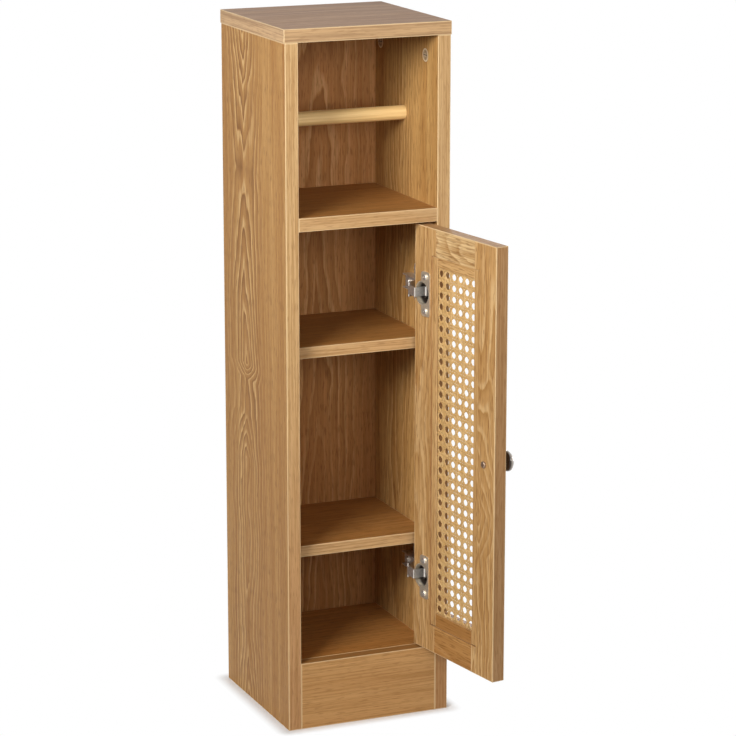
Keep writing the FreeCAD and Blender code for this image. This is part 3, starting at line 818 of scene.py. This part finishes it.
class Workbench:
    """The hand steps that the new pieces are made with."""

    @staticmethod
    def clear_selection() -> None:
        """Leaves nothing selected."""
        bpy.ops.object.select_all(action="DESELECT")

    @staticmethod
    def take(piece: bpy.types.Object) -> None:
        """Selects one piece alone.

        Args:
            piece: the piece.
        """
        Workbench.clear_selection()
        piece.select_set(True)
        bpy.context.view_layer.objects.active = piece

    @staticmethod
    @contextmanager
    def editing(piece: bpy.types.Object) -> Iterator[None]:
        """Opens a piece in edit mode.

        Args:
            piece: the piece to edit.

        Yields:
            Nothing, while the piece is open.
        """
        Workbench.take(piece)
        bpy.ops.object.mode_set(mode="EDIT")
        yield
        bpy.ops.object.mode_set(mode="OBJECT")

    @staticmethod
    def pick(piece: bpy.types.Object, kind: str, test: Callable[[Vector, Vector], bool]) -> None:
        """Selects vertices or edges of the piece being edited.

        Args:
            piece: the piece being edited.
            kind: VERT or EDGE.
            test: takes two end points, which are the same for a vertex.
        """
        bpy.ops.mesh.select_mode(type=kind)
        bpy.ops.mesh.select_all(action="DESELECT")
        mesh = bmesh.from_edit_mesh(piece.data)
        if kind == "EDGE":
            for edge in mesh.edges:
                edge.select_set(test(edge.verts[0].co, edge.verts[1].co))
        else:
            for vertex in mesh.verts:
                vertex.select_set(test(vertex.co, vertex.co))
        mesh.select_flush_mode()
        bmesh.update_edit_mesh(piece.data)

    @staticmethod
    def block(name: str, low: Sequence[float], high: Sequence[float]) -> bpy.types.Object:
        """Adds a cube primitive and sizes it to a box.

        Args:
            name: name of the piece.
            low: lowest corner.
            high: highest corner.

        Returns:
            The new piece.
        """
        Workbench.clear_selection()
        middle = [(a + b) / 2 for a, b in zip(low, high)]
        bpy.ops.mesh.primitive_cube_add(size=1.0, location=middle)
        piece = bpy.context.object
        piece.name = piece.data.name = name
        piece.scale = [b - a for a, b in zip(low, high)]
        Workbench.settle(piece)
        return piece

    @staticmethod
    def settle(piece: bpy.types.Object) -> None:
        """Moves a piece's place, turn and size into its mesh."""
        Workbench.take(piece)
        bpy.ops.object.transform_apply(location=True, rotation=True, scale=True)

    @staticmethod
    def repeat(piece: bpy.types.Object, count: int, step: Sequence[float],
               uv_step: float) -> None:
        """Copies a piece in a row with an Array modifier and applies it.

        Args:
            piece: the piece to copy.
            count: how many there are in the row.
            step: from one to the next.
            uv_step: shift of the UV map from one to the next.
        """
        Workbench.take(piece)
        array = piece.modifiers.new("Row", "ARRAY")
        array.count = count
        array.use_relative_offset = False
        array.use_constant_offset = True
        array.constant_offset_displace = step
        array.offset_u = uv_step
        bpy.ops.object.modifier_apply(modifier=array.name)

    @staticmethod
    def join(pieces: Sequence[bpy.types.Object], name: str) -> bpy.types.Object:
        """Joins pieces into the first one.

        Args:
            pieces: the pieces to join.
            name: name of the joined piece.

        Returns:
            The joined piece.
        """
        Workbench.take(pieces[0])
        for piece in pieces[1:]:
            piece.select_set(True)
        bpy.ops.object.join()
        pieces[0].name = pieces[0].data.name = name
        return pieces[0]

    @staticmethod
    def open_with_door(piece: bpy.types.Object) -> None:
        """Turns a piece made for the closed door to where the open door is."""
        piece.matrix_world = door_turn(DOOR_OPEN_ANGLE)
        Workbench.settle(piece)


def dress(material: bpy.types.Material, *nodes: str) -> None:
    """Puts a material in every slot of some CAD nodes.

    Args:
        material: the material.
        *nodes: names of the nodes.
    """
    for node in nodes:
        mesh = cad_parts[node].data
        if not mesh.materials:
            mesh.materials.append(material)
        for index in range(len(mesh.materials)):
            mesh.materials[index] = material
        LOG.info("dressed %s with %s", node, material.name)


def closed_box(node: str, place: Place) -> Box:
    """Finds a board's corners with the door closed.

    Args:
        node: name of the board's node.
        place: the body that it belongs to.

    Returns:
        The lowest and highest corners.
    """
    if place is Place.CABINET:
        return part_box(node)
    back = door_turn(-DOOR_OPEN_ANGLE)
    points = [back @ vertex.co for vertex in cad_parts[node].data.vertices]
    low, high = (Vector(end(point[axis] for point in points) for axis in range(3))
                 for end in (min, max))
    return low, high


# -------------------------------------------------------------- sub-assemblies


@dataclass
class Board:
    """One board with its cut and finish."""

    node: str
    cut: BoardCut
    finish: OakFinish
    place: Place = Place.CABINET

    def dress(self) -> None:
        """Gives the board its own figure."""
        box = closed_box(self.node, self.place)
        dress(self.finish.material("oak_" + self.node, self.cut, box, self.place), self.node)


def shelf(node: str, heart: float, depths: Tuple[float, float], seed: float,
          finish: OakFinish = OAK_SHELF) -> Board:
    """Makes a lying board with faint, nearly straight figure.

    Args:
        node: name of the board's node.
        heart: place of the heart across the board.
        depths: depth of the heart at the board's left and right in millimetres.
        seed: shift of the noise.
        finish: the board's finish.

    Returns:
        The board.
    """
    bends = tuple(zip((-100, 100), depths))
    return Board(node, BoardCut(Grain.LYING, heart, bends, seed, 0.35), finish)


@dataclass
class Carcass:
    """The fixed boards of the cabinet."""

    boards: Tuple[Board, ...] = (
        Board("top_panel", BoardCut(Grain.LYING, 0.05, ((-100, 60), (100, 75)), 2.0, 0.3), OAK_TOP),
        Board("left_side_panel", BoardCut(Grain.SIDE_PANEL, 0.126, (
            (0, 2), (70, 15), (110, 13), (160, 4), (283, 2), (336, 31), (376, 34), (392, 10),
            (612, 49), (780, 8)), 5.0, 1.3, calm=(230.0, 310.0)), OAK_LEFT),
        Board("right_side_panel", BoardCut(Grain.SIDE_PANEL, 0.10, (
            (0, 46), (240, 28), (470, 15), (640, 3), (780, 0)), 9.0, 0.9), OAK_RIGHT_LIT),
        shelf("upper_shelf", 0.08, (50, 62), 14.0),
        shelf("middle_shelf", 0.10, (60, 50), 17.0),
        shelf("lower_shelf", 0.07, (45, 58), 21.0),
        shelf("bottom_panel", 0.11, (60, 68), 25.0, OAK_FLOOR_LIT),
        Board("plinth_board", BoardCut(Grain.STANDING, 0.30, ((-100, 50), (100, 54)), 28.0, 0.2),
              OAK_PLINTH),
        Board("back_panel", BoardCut(Grain.UPRIGHT, 0.01, (
            (60, 1), (260, 12), (480, 26), (620, 33), (780, 46)), 33.0, 0.9), OAK_BACK),
    )

    def build(self) -> None:
        """Dresses the boards."""
        for board in self.boards:
            board.dress()


@dataclass
class Fittings:
    """Cams, bolts and pins of the cabinet, the knob's screw and the hidden dowels."""

    cams: Tuple[str, ...] = ("top_cam_locks",)
    zinc: Tuple[str, ...] = ("top_cam_bolts", "shelf_cam_locks", "shelf_cam_bolts")
    bronze: Tuple[str, ...] = ("knob_screw",)
    nickel: Tuple[str, ...] = ("shelf_pins",)
    wood: Tuple[str, ...] = ("board_dowels", "door_frame_dowels")

    def build(self) -> None:
        """Dresses the fittings."""
        dress(CamFinish().material("zinc_cam"), *self.cams)
        dress(ZINC.material("zinc_plate"), *self.zinc)
        dress(BRONZE.material("bronze_screw"), *self.bronze)
        dress(NICKEL.material("nickel_pin"), *self.nickel)
        dress(TurnedWoodFinish().material("beech_dowel"), *self.wood)


@dataclass
class RollRod:
    """The wooden rod that carries the roll."""

    node: str = "roll_rod"

    def build(self) -> None:
        """Dresses the rod."""
        dress(ROD_WOOD_LIT.material("rod_wood"), self.node)


@dataclass
class Hinges:
    """Both cup hinges: plates and arms on the cabinet, cups on the door."""

    nodes: Tuple[str, ...] = (
        "upper_hinge_plate", "lower_hinge_plate", "upper_hinge_arm", "lower_hinge_arm",
        "hinge_plate_screws", "hinge_fixing_screws", "hinge_adjusting_screws",
        "hinge_pins", "hinge_cup_screws",
    )
    cups: Tuple[str, ...] = ("upper_hinge_cup", "lower_hinge_cup")
    # Painted shade deep in the cups: where it is full and where it has faded out.
    cup_painted_shade: Tuple[float, float] = (9.5 * MM, 13.6 * MM)

    def build(self) -> None:
        """Dresses the hinges."""
        dress(NICKEL.material("nickel_hinge"), *self.nodes)
        dress(NICKEL_CUP.material("nickel_cup", self.cup_painted_shade), *self.cups)


@dataclass
class DoorFrame:
    """The door's stiles and rails, and the beads that hold the cane.

    Attributes:
        boards: the frame's four boards.
        opening_x: half of the opening's width.
        opening_z: heights of the opening's edges.
        rebate_side: width of the rebate beside the opening.
        rebate_z: heights of the rebate's ends.
        bead_y: back and face of the beads, with the door closed.
        bead_end_gap: what the upright beads stop short of the rebate's ends.
        bead_play: clearance between a bead and the rebate.
        bead_cover: what the upright beads reach over the cane.
        bead_ease: how far a bead's face edges are eased.
    """

    boards: Tuple[Board, ...] = (
        Board("door_hinge_stile", BoardCut(Grain.UPRIGHT, 0.085, (
            (70, 16), (320, 34), (570, 22)), 41.0, 0.8, ("-X",)), OAK_STILE, Place.DOOR),
        Board("door_free_stile", BoardCut(Grain.UPRIGHT, -0.045, (
            (70, 8), (215, 20), (262, 9), (415, 38), (570, 42)), 45.0, 0.9, ("+X",)),
              OAK_STILE, Place.DOOR),
        Board("door_top_rail", BoardCut(Grain.STANDING, 0.546, (
            (-42, 30), (-25, 27), (42, 6)), 51.0, 0.8, ("-X", "+X", "-Z")),
              OAK_TOP_RAIL_LIT, Place.DOOR),
        Board("door_bottom_rail", BoardCut(Grain.STANDING, 0.07, (
            (-42, 40), (42, 46)), 57.0, 0.4, ("+Z",)), OAK_LOW_RAIL_SHADED, Place.DOOR),
    )
    opening_x: float = OPENING_X
    opening_z: Tuple[float, float] = OPENING_Z
    rebate_side: float = 8 * MM
    rebate_z: Tuple[float, float] = (109.4 * MM, 529.3 * MM)
    bead_y: Tuple[float, float] = (12.6 * MM, 14.0 * MM)
    bead_end_gap: float = 0.9 * MM
    bead_play: float = 0.15 * MM
    bead_cover: float = 1.5 * MM
    bead_ease: float = 0.4 * MM

    def build(self) -> None:
        """Dresses the frame and makes its beads."""
        for board in self.boards:
            board.dress()
        low_z, high_z = self.opening_z
        bottom, top = self.rebate_z
        inner, outer = self.opening_x - self.bead_cover, self.opening_x + self.rebate_side
        beads = []
        for side, name in ((1, "hinge_side_bead"), (-1, "free_side_bead")):
            ends = sorted((side * inner, side * (outer - self.bead_play)))
            beads.append(self._bead(name, (ends[0], bottom + self.bead_end_gap),
                                    (ends[1], top - self.bead_end_gap),
                                    Grain.UPRIGHT, 60.0 + side))
        reach = inner - self.bead_play
        beads.append(self._bead("top_bead", (-reach, high_z), (reach, top - self.bead_play),
                                Grain.STANDING, 64.0))
        beads.append(self._bead("bottom_bead", (-reach, bottom + self.bead_play), (reach, low_z),
                                Grain.STANDING, 67.0, OAK_LOW_BEAD_SHADED))
        strips = Workbench.join(beads, "cane_bead_strips")
        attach(strips, "door")
        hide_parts("cane_beads")
        LOG.info("made %s", strips.name)

    def _bead(self, name: str, low: Tuple[float, float], high: Tuple[float, float],
              grain: Grain, seed: float, wood: OakFinish = OAK_STILE) -> bpy.types.Object:
        """Makes one bead with eased edges.

        Args:
            name: name of the bead.
            low: its lowest x and z, with the door closed.
            high: its highest x and z, with the door closed.
            grain: its axes.
            seed: shift of its figure.
            wood: its finish.

        Returns:
            The bead, where the open door holds it.
        """
        back, face = self.bead_y
        box = (Vector((low[0], back, low[1])), Vector((high[0], face, high[1])))
        bead = Workbench.block(name, *box)
        with Workbench.editing(bead):
            Workbench.pick(bead, "EDGE", lambda a, b: min(a.y, b.y) > face - TINY)
            bpy.ops.mesh.bevel(offset=self.bead_ease, segments=3, affect="EDGES")
        Workbench.open_with_door(bead)
        finish = replace(wood, corner_highlight_amount=0.15, band_amount=0.0)
        bead.data.materials.append(
            finish.material("oak_" + name, BoardCut(grain, seed=seed), box, Place.DOOR))
        return bead


@dataclass
class CaneWeave:
    """The woven cane of the door: paired uprights and levels, and diagonals.

    Attributes:
        columns: meshes across the opening.
        rows: meshes up the opening.
        opening_x: half of the opening's width.
        opening_z: heights of the opening's edges.
        tuck: what the strands run on below the beads.
        middle_y: middle of the weave, with the door closed.
        strand_width: width of an upright or level strand.
        diagonal_width: width of a diagonal strand.
        strand_thickness: thickness of a strand.
        strand_round: share of a strand's half thickness that its edges are rounded by.
        pair_gap: from the middle of a pair to each of its strands.
        wave: how far a strand rises and falls over the others.
        uv_steps: shifts of the UV map from one upright, level or diagonal strand to the
            next, so that no two strands are alike.
        uv_phase: shift of the UV map for each radian of a strand's phase.
        smooth_angle: edges flatter than this look smooth.
        parts: the strands laid so far.
    """

    columns: int = 6
    rows: int = 32
    opening_x: float = OPENING_X
    opening_z: Tuple[float, float] = OPENING_Z
    tuck: float = 6.5 * MM
    middle_y: float = 11.6 * MM
    strand_width: float = 2.6 * MM
    diagonal_width: float = 2.2 * MM
    strand_thickness: float = 0.46 * MM
    strand_round: float = 0.9
    pair_gap: float = 1.42 * MM
    wave: float = 0.3 * MM
    uv_steps: Tuple[float, float, float] = (0.037, 0.041, 0.029)
    uv_phase: float = 0.01
    smooth_angle: float = math.radians(50)
    parts: List[bpy.types.Object] = field(default_factory=list)

    @property
    def pitch_x(self) -> float:
        """Width of one mesh."""
        return 2 * self.opening_x / self.columns

    @property
    def pitch_z(self) -> float:
        """Height of one mesh."""
        return (self.opening_z[1] - self.opening_z[0]) / self.rows

    def build(self) -> None:
        """Weaves the panel and puts it in the door."""
        self._pairs("upright_strand", True)
        self._pairs("level_strand", False)
        self._diagonals()
        weave = Workbench.join(self.parts, "woven_cane")
        Workbench.open_with_door(weave)
        bpy.ops.object.shade_smooth_by_angle(angle=self.smooth_angle)
        weave.data.materials.append(CaneFinish().material("split_cane"))
        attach(weave, "door")
        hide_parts("cane_panel")
        LOG.info("wove %s", weave.name)

    def _strand(self, name: str, reach: float, width: float, knots: int, wave_length: float,
                phase: float) -> bpy.types.Object:
        """Makes one strand upright about the origin, with rounded edges and waved.

        Args:
            name: name of the strand.
            reach: half of its length.
            width: its width.
            knots: how many pieces its length is divided into.
            wave_length: length of one rise and fall.
            phase: where in a rise its middle is, in radians.

        Returns:
            The strand.
        """
        half, thick = width / 2, self.strand_thickness / 2
        strand = Workbench.block(name, (-half, -thick, -reach), (half, thick, reach))
        with Workbench.editing(strand):
            Workbench.pick(strand, "EDGE", lambda a, b: abs(a.z - b.z) > reach)
            bpy.ops.mesh.subdivide(number_cuts=knots - 1)
            Workbench.pick(strand, "EDGE",
                           lambda a, b: abs(a.z - b.z) > TINY and abs(a.x - b.x) < TINY)
            bpy.ops.mesh.bevel(offset=thick * self.strand_round, segments=1, affect="EDGES")
            for knot in range(knots + 1):
                height = -reach + 2 * reach * knot / knots
                rise = self.wave * math.cos(2 * math.pi * height / wave_length + phase)
                Workbench.pick(strand, "VERT", lambda a, b: abs(a.z - height) < TINY)
                bpy.ops.transform.translate(value=(0.0, rise, 0.0))
        layer = strand.data.uv_layers[0]
        layer.name = STRAND_UV
        for loop in strand.data.loops:
            place = strand.data.vertices[loop.vertex_index].co
            layer.data[loop.index].uv = (place.x + self.uv_phase * phase, place.z)
        return strand

    def _lay(self, strand: bpy.types.Object, tilt: float, x: float, z: float) -> None:
        """Turns a strand in the plane of the weave and moves it to its place.

        Args:
            strand: the strand.
            tilt: its turn from upright, in radians.
            x: where its middle goes across.
            z: where its middle goes up.
        """
        strand.matrix_world = (Matrix.Translation((x, self.middle_y, z))
                               @ Matrix.Rotation(tilt, 4, "Y"))
        Workbench.settle(strand)
        self.parts.append(strand)

    def _pairs(self, name: str, upright: bool) -> None:
        """Lays the pairs of upright or of level strands.

        Args:
            name: name of the strands.
            upright: whether they stand upright.
        """
        across, up = (self.columns, self.pitch_x), (self.rows, self.pitch_z)
        (cells, cell), (lanes, lane) = (up, across) if upright else (across, up)
        half = cells * cell / 2
        for odd, pair in ((0, -1), (0, 1), (1, -1), (1, 1)):
            phase = math.pi * (odd + (pair > 0) + cells / 2 + (0 if upright else 1))
            strand = self._strand(name, half + self.tuck, self.strand_width, 2 * (cells + 1),
                                  2 * cell, phase)
            beside = odd * lane + pair * self.pair_gap
            x, z = (beside, half) if upright else (half, beside)
            self._lay(strand, 0.0 if upright else math.pi / 2, x - self.opening_x,
                      z + self.opening_z[0])
            step = (2 * lane, 0.0, 0.0) if upright else (0.0, 0.0, 2 * lane)
            Workbench.repeat(strand, (lanes + 2 - odd) // 2, step,
                             self.uv_steps[0 if upright else 1])

    def _diagonals(self) -> None:
        """Lays the diagonal strands both ways and trims them to the rebate."""
        low, high = self.opening_z
        slope = math.atan2(self.pitch_x, self.pitch_z)
        reach = (self.opening_x + self.tuck) / math.sin(slope)
        cell = math.hypot(self.pitch_x, self.pitch_z)
        first = low - (self.columns / 2 - 0.5) * self.pitch_z
        for way in (-1, 1):
            strand = self._strand("diagonal_strand", reach, self.diagonal_width,
                                  4 * (self.columns + 1), cell, math.pi * (way > 0))
            self._lay(strand, way * slope, 0.0, first)
            Workbench.repeat(strand, self.rows + self.columns, (0.0, 0.0, self.pitch_z),
                             self.uv_steps[2])
            for edge, outward in ((low - self.tuck, -1.0), (high + self.tuck, 1.0)):
                with Workbench.editing(strand):
                    bpy.ops.mesh.select_all(action="SELECT")
                    bpy.ops.mesh.bisect(plane_co=(0.0, 0.0, edge), plane_no=(0.0, 0.0, outward),
                                        clear_outer=True, use_fill=True)


@dataclass
class Knob:
    """The round chrome knob on the door's outer side."""

    node: str = "knob"
    # Painted reflection: where the knob darkens towards the door, as the shaded door reflected in
    # it.
    dark: Tuple[float, float] = (-12.0 * MM, -14.2 * MM)

    def build(self) -> None:
        """Dresses the knob."""
        dress(CHROME.material("polished_chrome", self.dark), self.node)


# --------------------------------------------------------------------- studio


@dataclass(frozen=True)
class Softbox:
    """One square area lamp.

    Attributes:
        name: name of the lamp.
        place: where it hangs.
        size: length of its sides.
        power: its power in watts.
        aim: the point that it looks at.
        spread: how wide its light spreads.
    """

    name: str
    place: Tuple[float, float, float]
    size: float
    power: float
    aim: Tuple[float, float, float]
    spread: float

    def build(self) -> None:
        """Hangs the lamp."""
        data = bpy.data.lights.new(self.name, "AREA")
        data.shape = "SQUARE"
        data.size = self.size
        data.energy = self.power
        data.spread = self.spread
        lamp = bpy.data.objects.new(self.name, data)
        lamp.location = self.place
        toward = Vector(self.aim) - Vector(self.place)
        lamp.rotation_euler = toward.to_track_quat("-Z", "Y").to_euler()
        bpy.context.scene.collection.objects.link(lamp)


@dataclass
class Studio:
    """White floor and surroundings, soft lamps and the camera.

    Attributes:
        lamps: the soft lamps.
        ambient: strength of the even light from all round.
        floor_size: side of the floor.
        floor_tone: grey of the floor.
        floor_rough: roughness of the floor.
        foot: the cabinet's foot on the floor, from side to side and front to back.
        shadow_reach: how far round the foot the floor shows its shade.
        azimuth: the camera's angle round the cabinet from the front.
        elevation: the camera's angle above level.
        offset: the floor's origin seen from the camera: right, down, forward.
        lens: focal length in millimetres.
        sensor: width of the camera's sensor in millimetres.
    """

    lamps: Tuple[Softbox, ...] = (
        Softbox("key_lamp", (-1.4, -0.95, 1.35), 0.8, 16.0, (0.0, 0.05, 0.8), math.radians(110)),
        Softbox("front_lamp", (-0.1, -1.8, 1.05), 0.7, 1.7, (0.0, 0.05, 0.85), math.radians(60)),
        Softbox("right_lamp", (1.6, 0.4, 0.5), 0.9, 7.0, (0.0, 0.1, 0.4), math.radians(140)),
        Softbox("back_lamp", (0.6, 1.7, 0.42), 0.7, 7.0, (0.0, 0.1, 0.4), math.radians(140)),
    )
    ambient: float = 0.16
    floor_size: float = 60.0
    floor_tone: float = 0.86
    floor_rough: float = 0.9
    foot: Tuple[Tuple[float, float], ...] = ((-0.096, 0.096), (0.0, 0.192))
    shadow_reach: float = 0.018
    azimuth: float = math.radians(-23.047)
    elevation: float = math.radians(13.684)
    offset: Tuple[float, float, float] = (0.000892, 0.394062, 3.386265)
    lens: float = 147.64
    sensor: float = 36.0

    def build(self) -> None:
        """Sets up the studio."""
        bpy.context.scene.view_settings.view_transform = "Standard"
        self._floor()
        self._surroundings()
        for lamp in self.lamps:
            lamp.build()
        self._camera()
        LOG.info("set up the studio")

    @staticmethod
    def _seen(tree: bpy.types.NodeTree) -> Socket:
        """Tells the rays that show a surface from those that light it.

        Args:
            tree: the nodes of the floor or the surroundings.

        Returns:
            1 for rays that show a surface, and 0 for rays that light it.
        """
        path = tree.nodes.new("ShaderNodeLightPath")
        seen = path.outputs["Is Camera Ray"]
        for kind in ("Is Glossy Ray", "Is Transmission Ray"):
            node = tree.nodes.new("ShaderNodeMath")
            node.operation = "MAXIMUM"
            tree.links.new(seen, node.inputs[0])
            tree.links.new(path.outputs[kind], node.inputs[1])
            seen = node.outputs[0]
        return seen

    def _floor(self) -> None:
        """Lays a white floor that keeps the shade round the cabinet's foot."""
        Workbench.clear_selection()
        bpy.ops.mesh.primitive_plane_add(size=self.floor_size)
        floor = bpy.context.object
        floor.name = "studio_floor"
        graph = ShaderGraph("studio_floor")
        graph.set(Base_Color=(self.floor_tone,) * 3 + (1.0,), Roughness=self.floor_rough,
                  Specular_IOR_Level=0.0)
        spot = graph.split(graph.object_point())
        gaps = []
        for axis, (low, high) in zip("XY", self.foot):
            away = graph.math("ABSOLUTE", graph.math("SUBTRACT", spot[axis], (low + high) / 2))
            outside = graph.math("SUBTRACT", away, (high - low) / 2)
            gaps.append(graph.math("MAXIMUM", outside, 0.0))
        plain = graph.fade(graph.hypot(*gaps), 0.0, self.shadow_reach)
        share = graph.math("MULTIPLY", plain, self._seen(graph.tree))
        glow = graph.add("ShaderNodeEmission").outputs[0]
        mix = graph.add("ShaderNodeMixShader")
        graph.feed(graph.surface, graph.fed(mix, share, graph.shader.outputs["BSDF"], glow))
        floor.data.materials.append(graph.material)

    def _surroundings(self) -> None:
        """Makes the surroundings white to look at, and softer as light."""
        world = bpy.data.worlds.new("studio")
        bpy.context.scene.world = world
        world.use_nodes = True
        tree = world.node_tree
        tree.nodes.clear()
        back = tree.nodes.new("ShaderNodeBackground")
        output = tree.nodes.new("ShaderNodeOutputWorld")
        strength = tree.nodes.new("ShaderNodeMapRange")
        strength.inputs["To Min"].default_value = self.ambient
        strength.inputs["To Max"].default_value = 1.0
        tree.links.new(self._seen(tree), strength.inputs["Value"])
        tree.links.new(strength.outputs[0], back.inputs["Strength"])
        back.inputs["Color"].default_value = (1.0, 1.0, 1.0, 1.0)
        tree.links.new(back.outputs[0], output.inputs["Surface"])

    def _camera(self) -> None:
        """Stands the camera at the photograph's viewing angle."""
        right = Vector((math.cos(self.azimuth), math.sin(self.azimuth), 0.0))
        level = Vector((-math.sin(self.azimuth), math.cos(self.azimuth), 0.0))
        forward = level * math.cos(self.elevation) + Vector((0, 0, -math.sin(self.elevation)))
        down = forward.cross(right)
        data = bpy.data.cameras.new("studio_camera")
        data.sensor_width = self.sensor
        data.lens = self.lens
        camera = bpy.data.objects.new("studio_camera", data)
        camera.location = -(right * self.offset[0] + down * self.offset[1]
                            + forward * self.offset[2])
        camera.rotation_euler = forward.to_track_quat("-Z", "Y").to_euler()
        bpy.context.scene.collection.objects.link(camera)
        bpy.context.scene.camera = camera


def main() -> None:
    """Builds the studio and dresses the sub-assemblies in order."""
    logging.basicConfig(level=logging.INFO, format="%(name)s: %(message)s")
    Studio().build()
    for assembly in (Carcass(), Fittings(), RollRod(), Hinges(), DoorFrame(), CaneWeave(), Knob()):
        assembly.build()


if __name__ == "__main__":
    main()
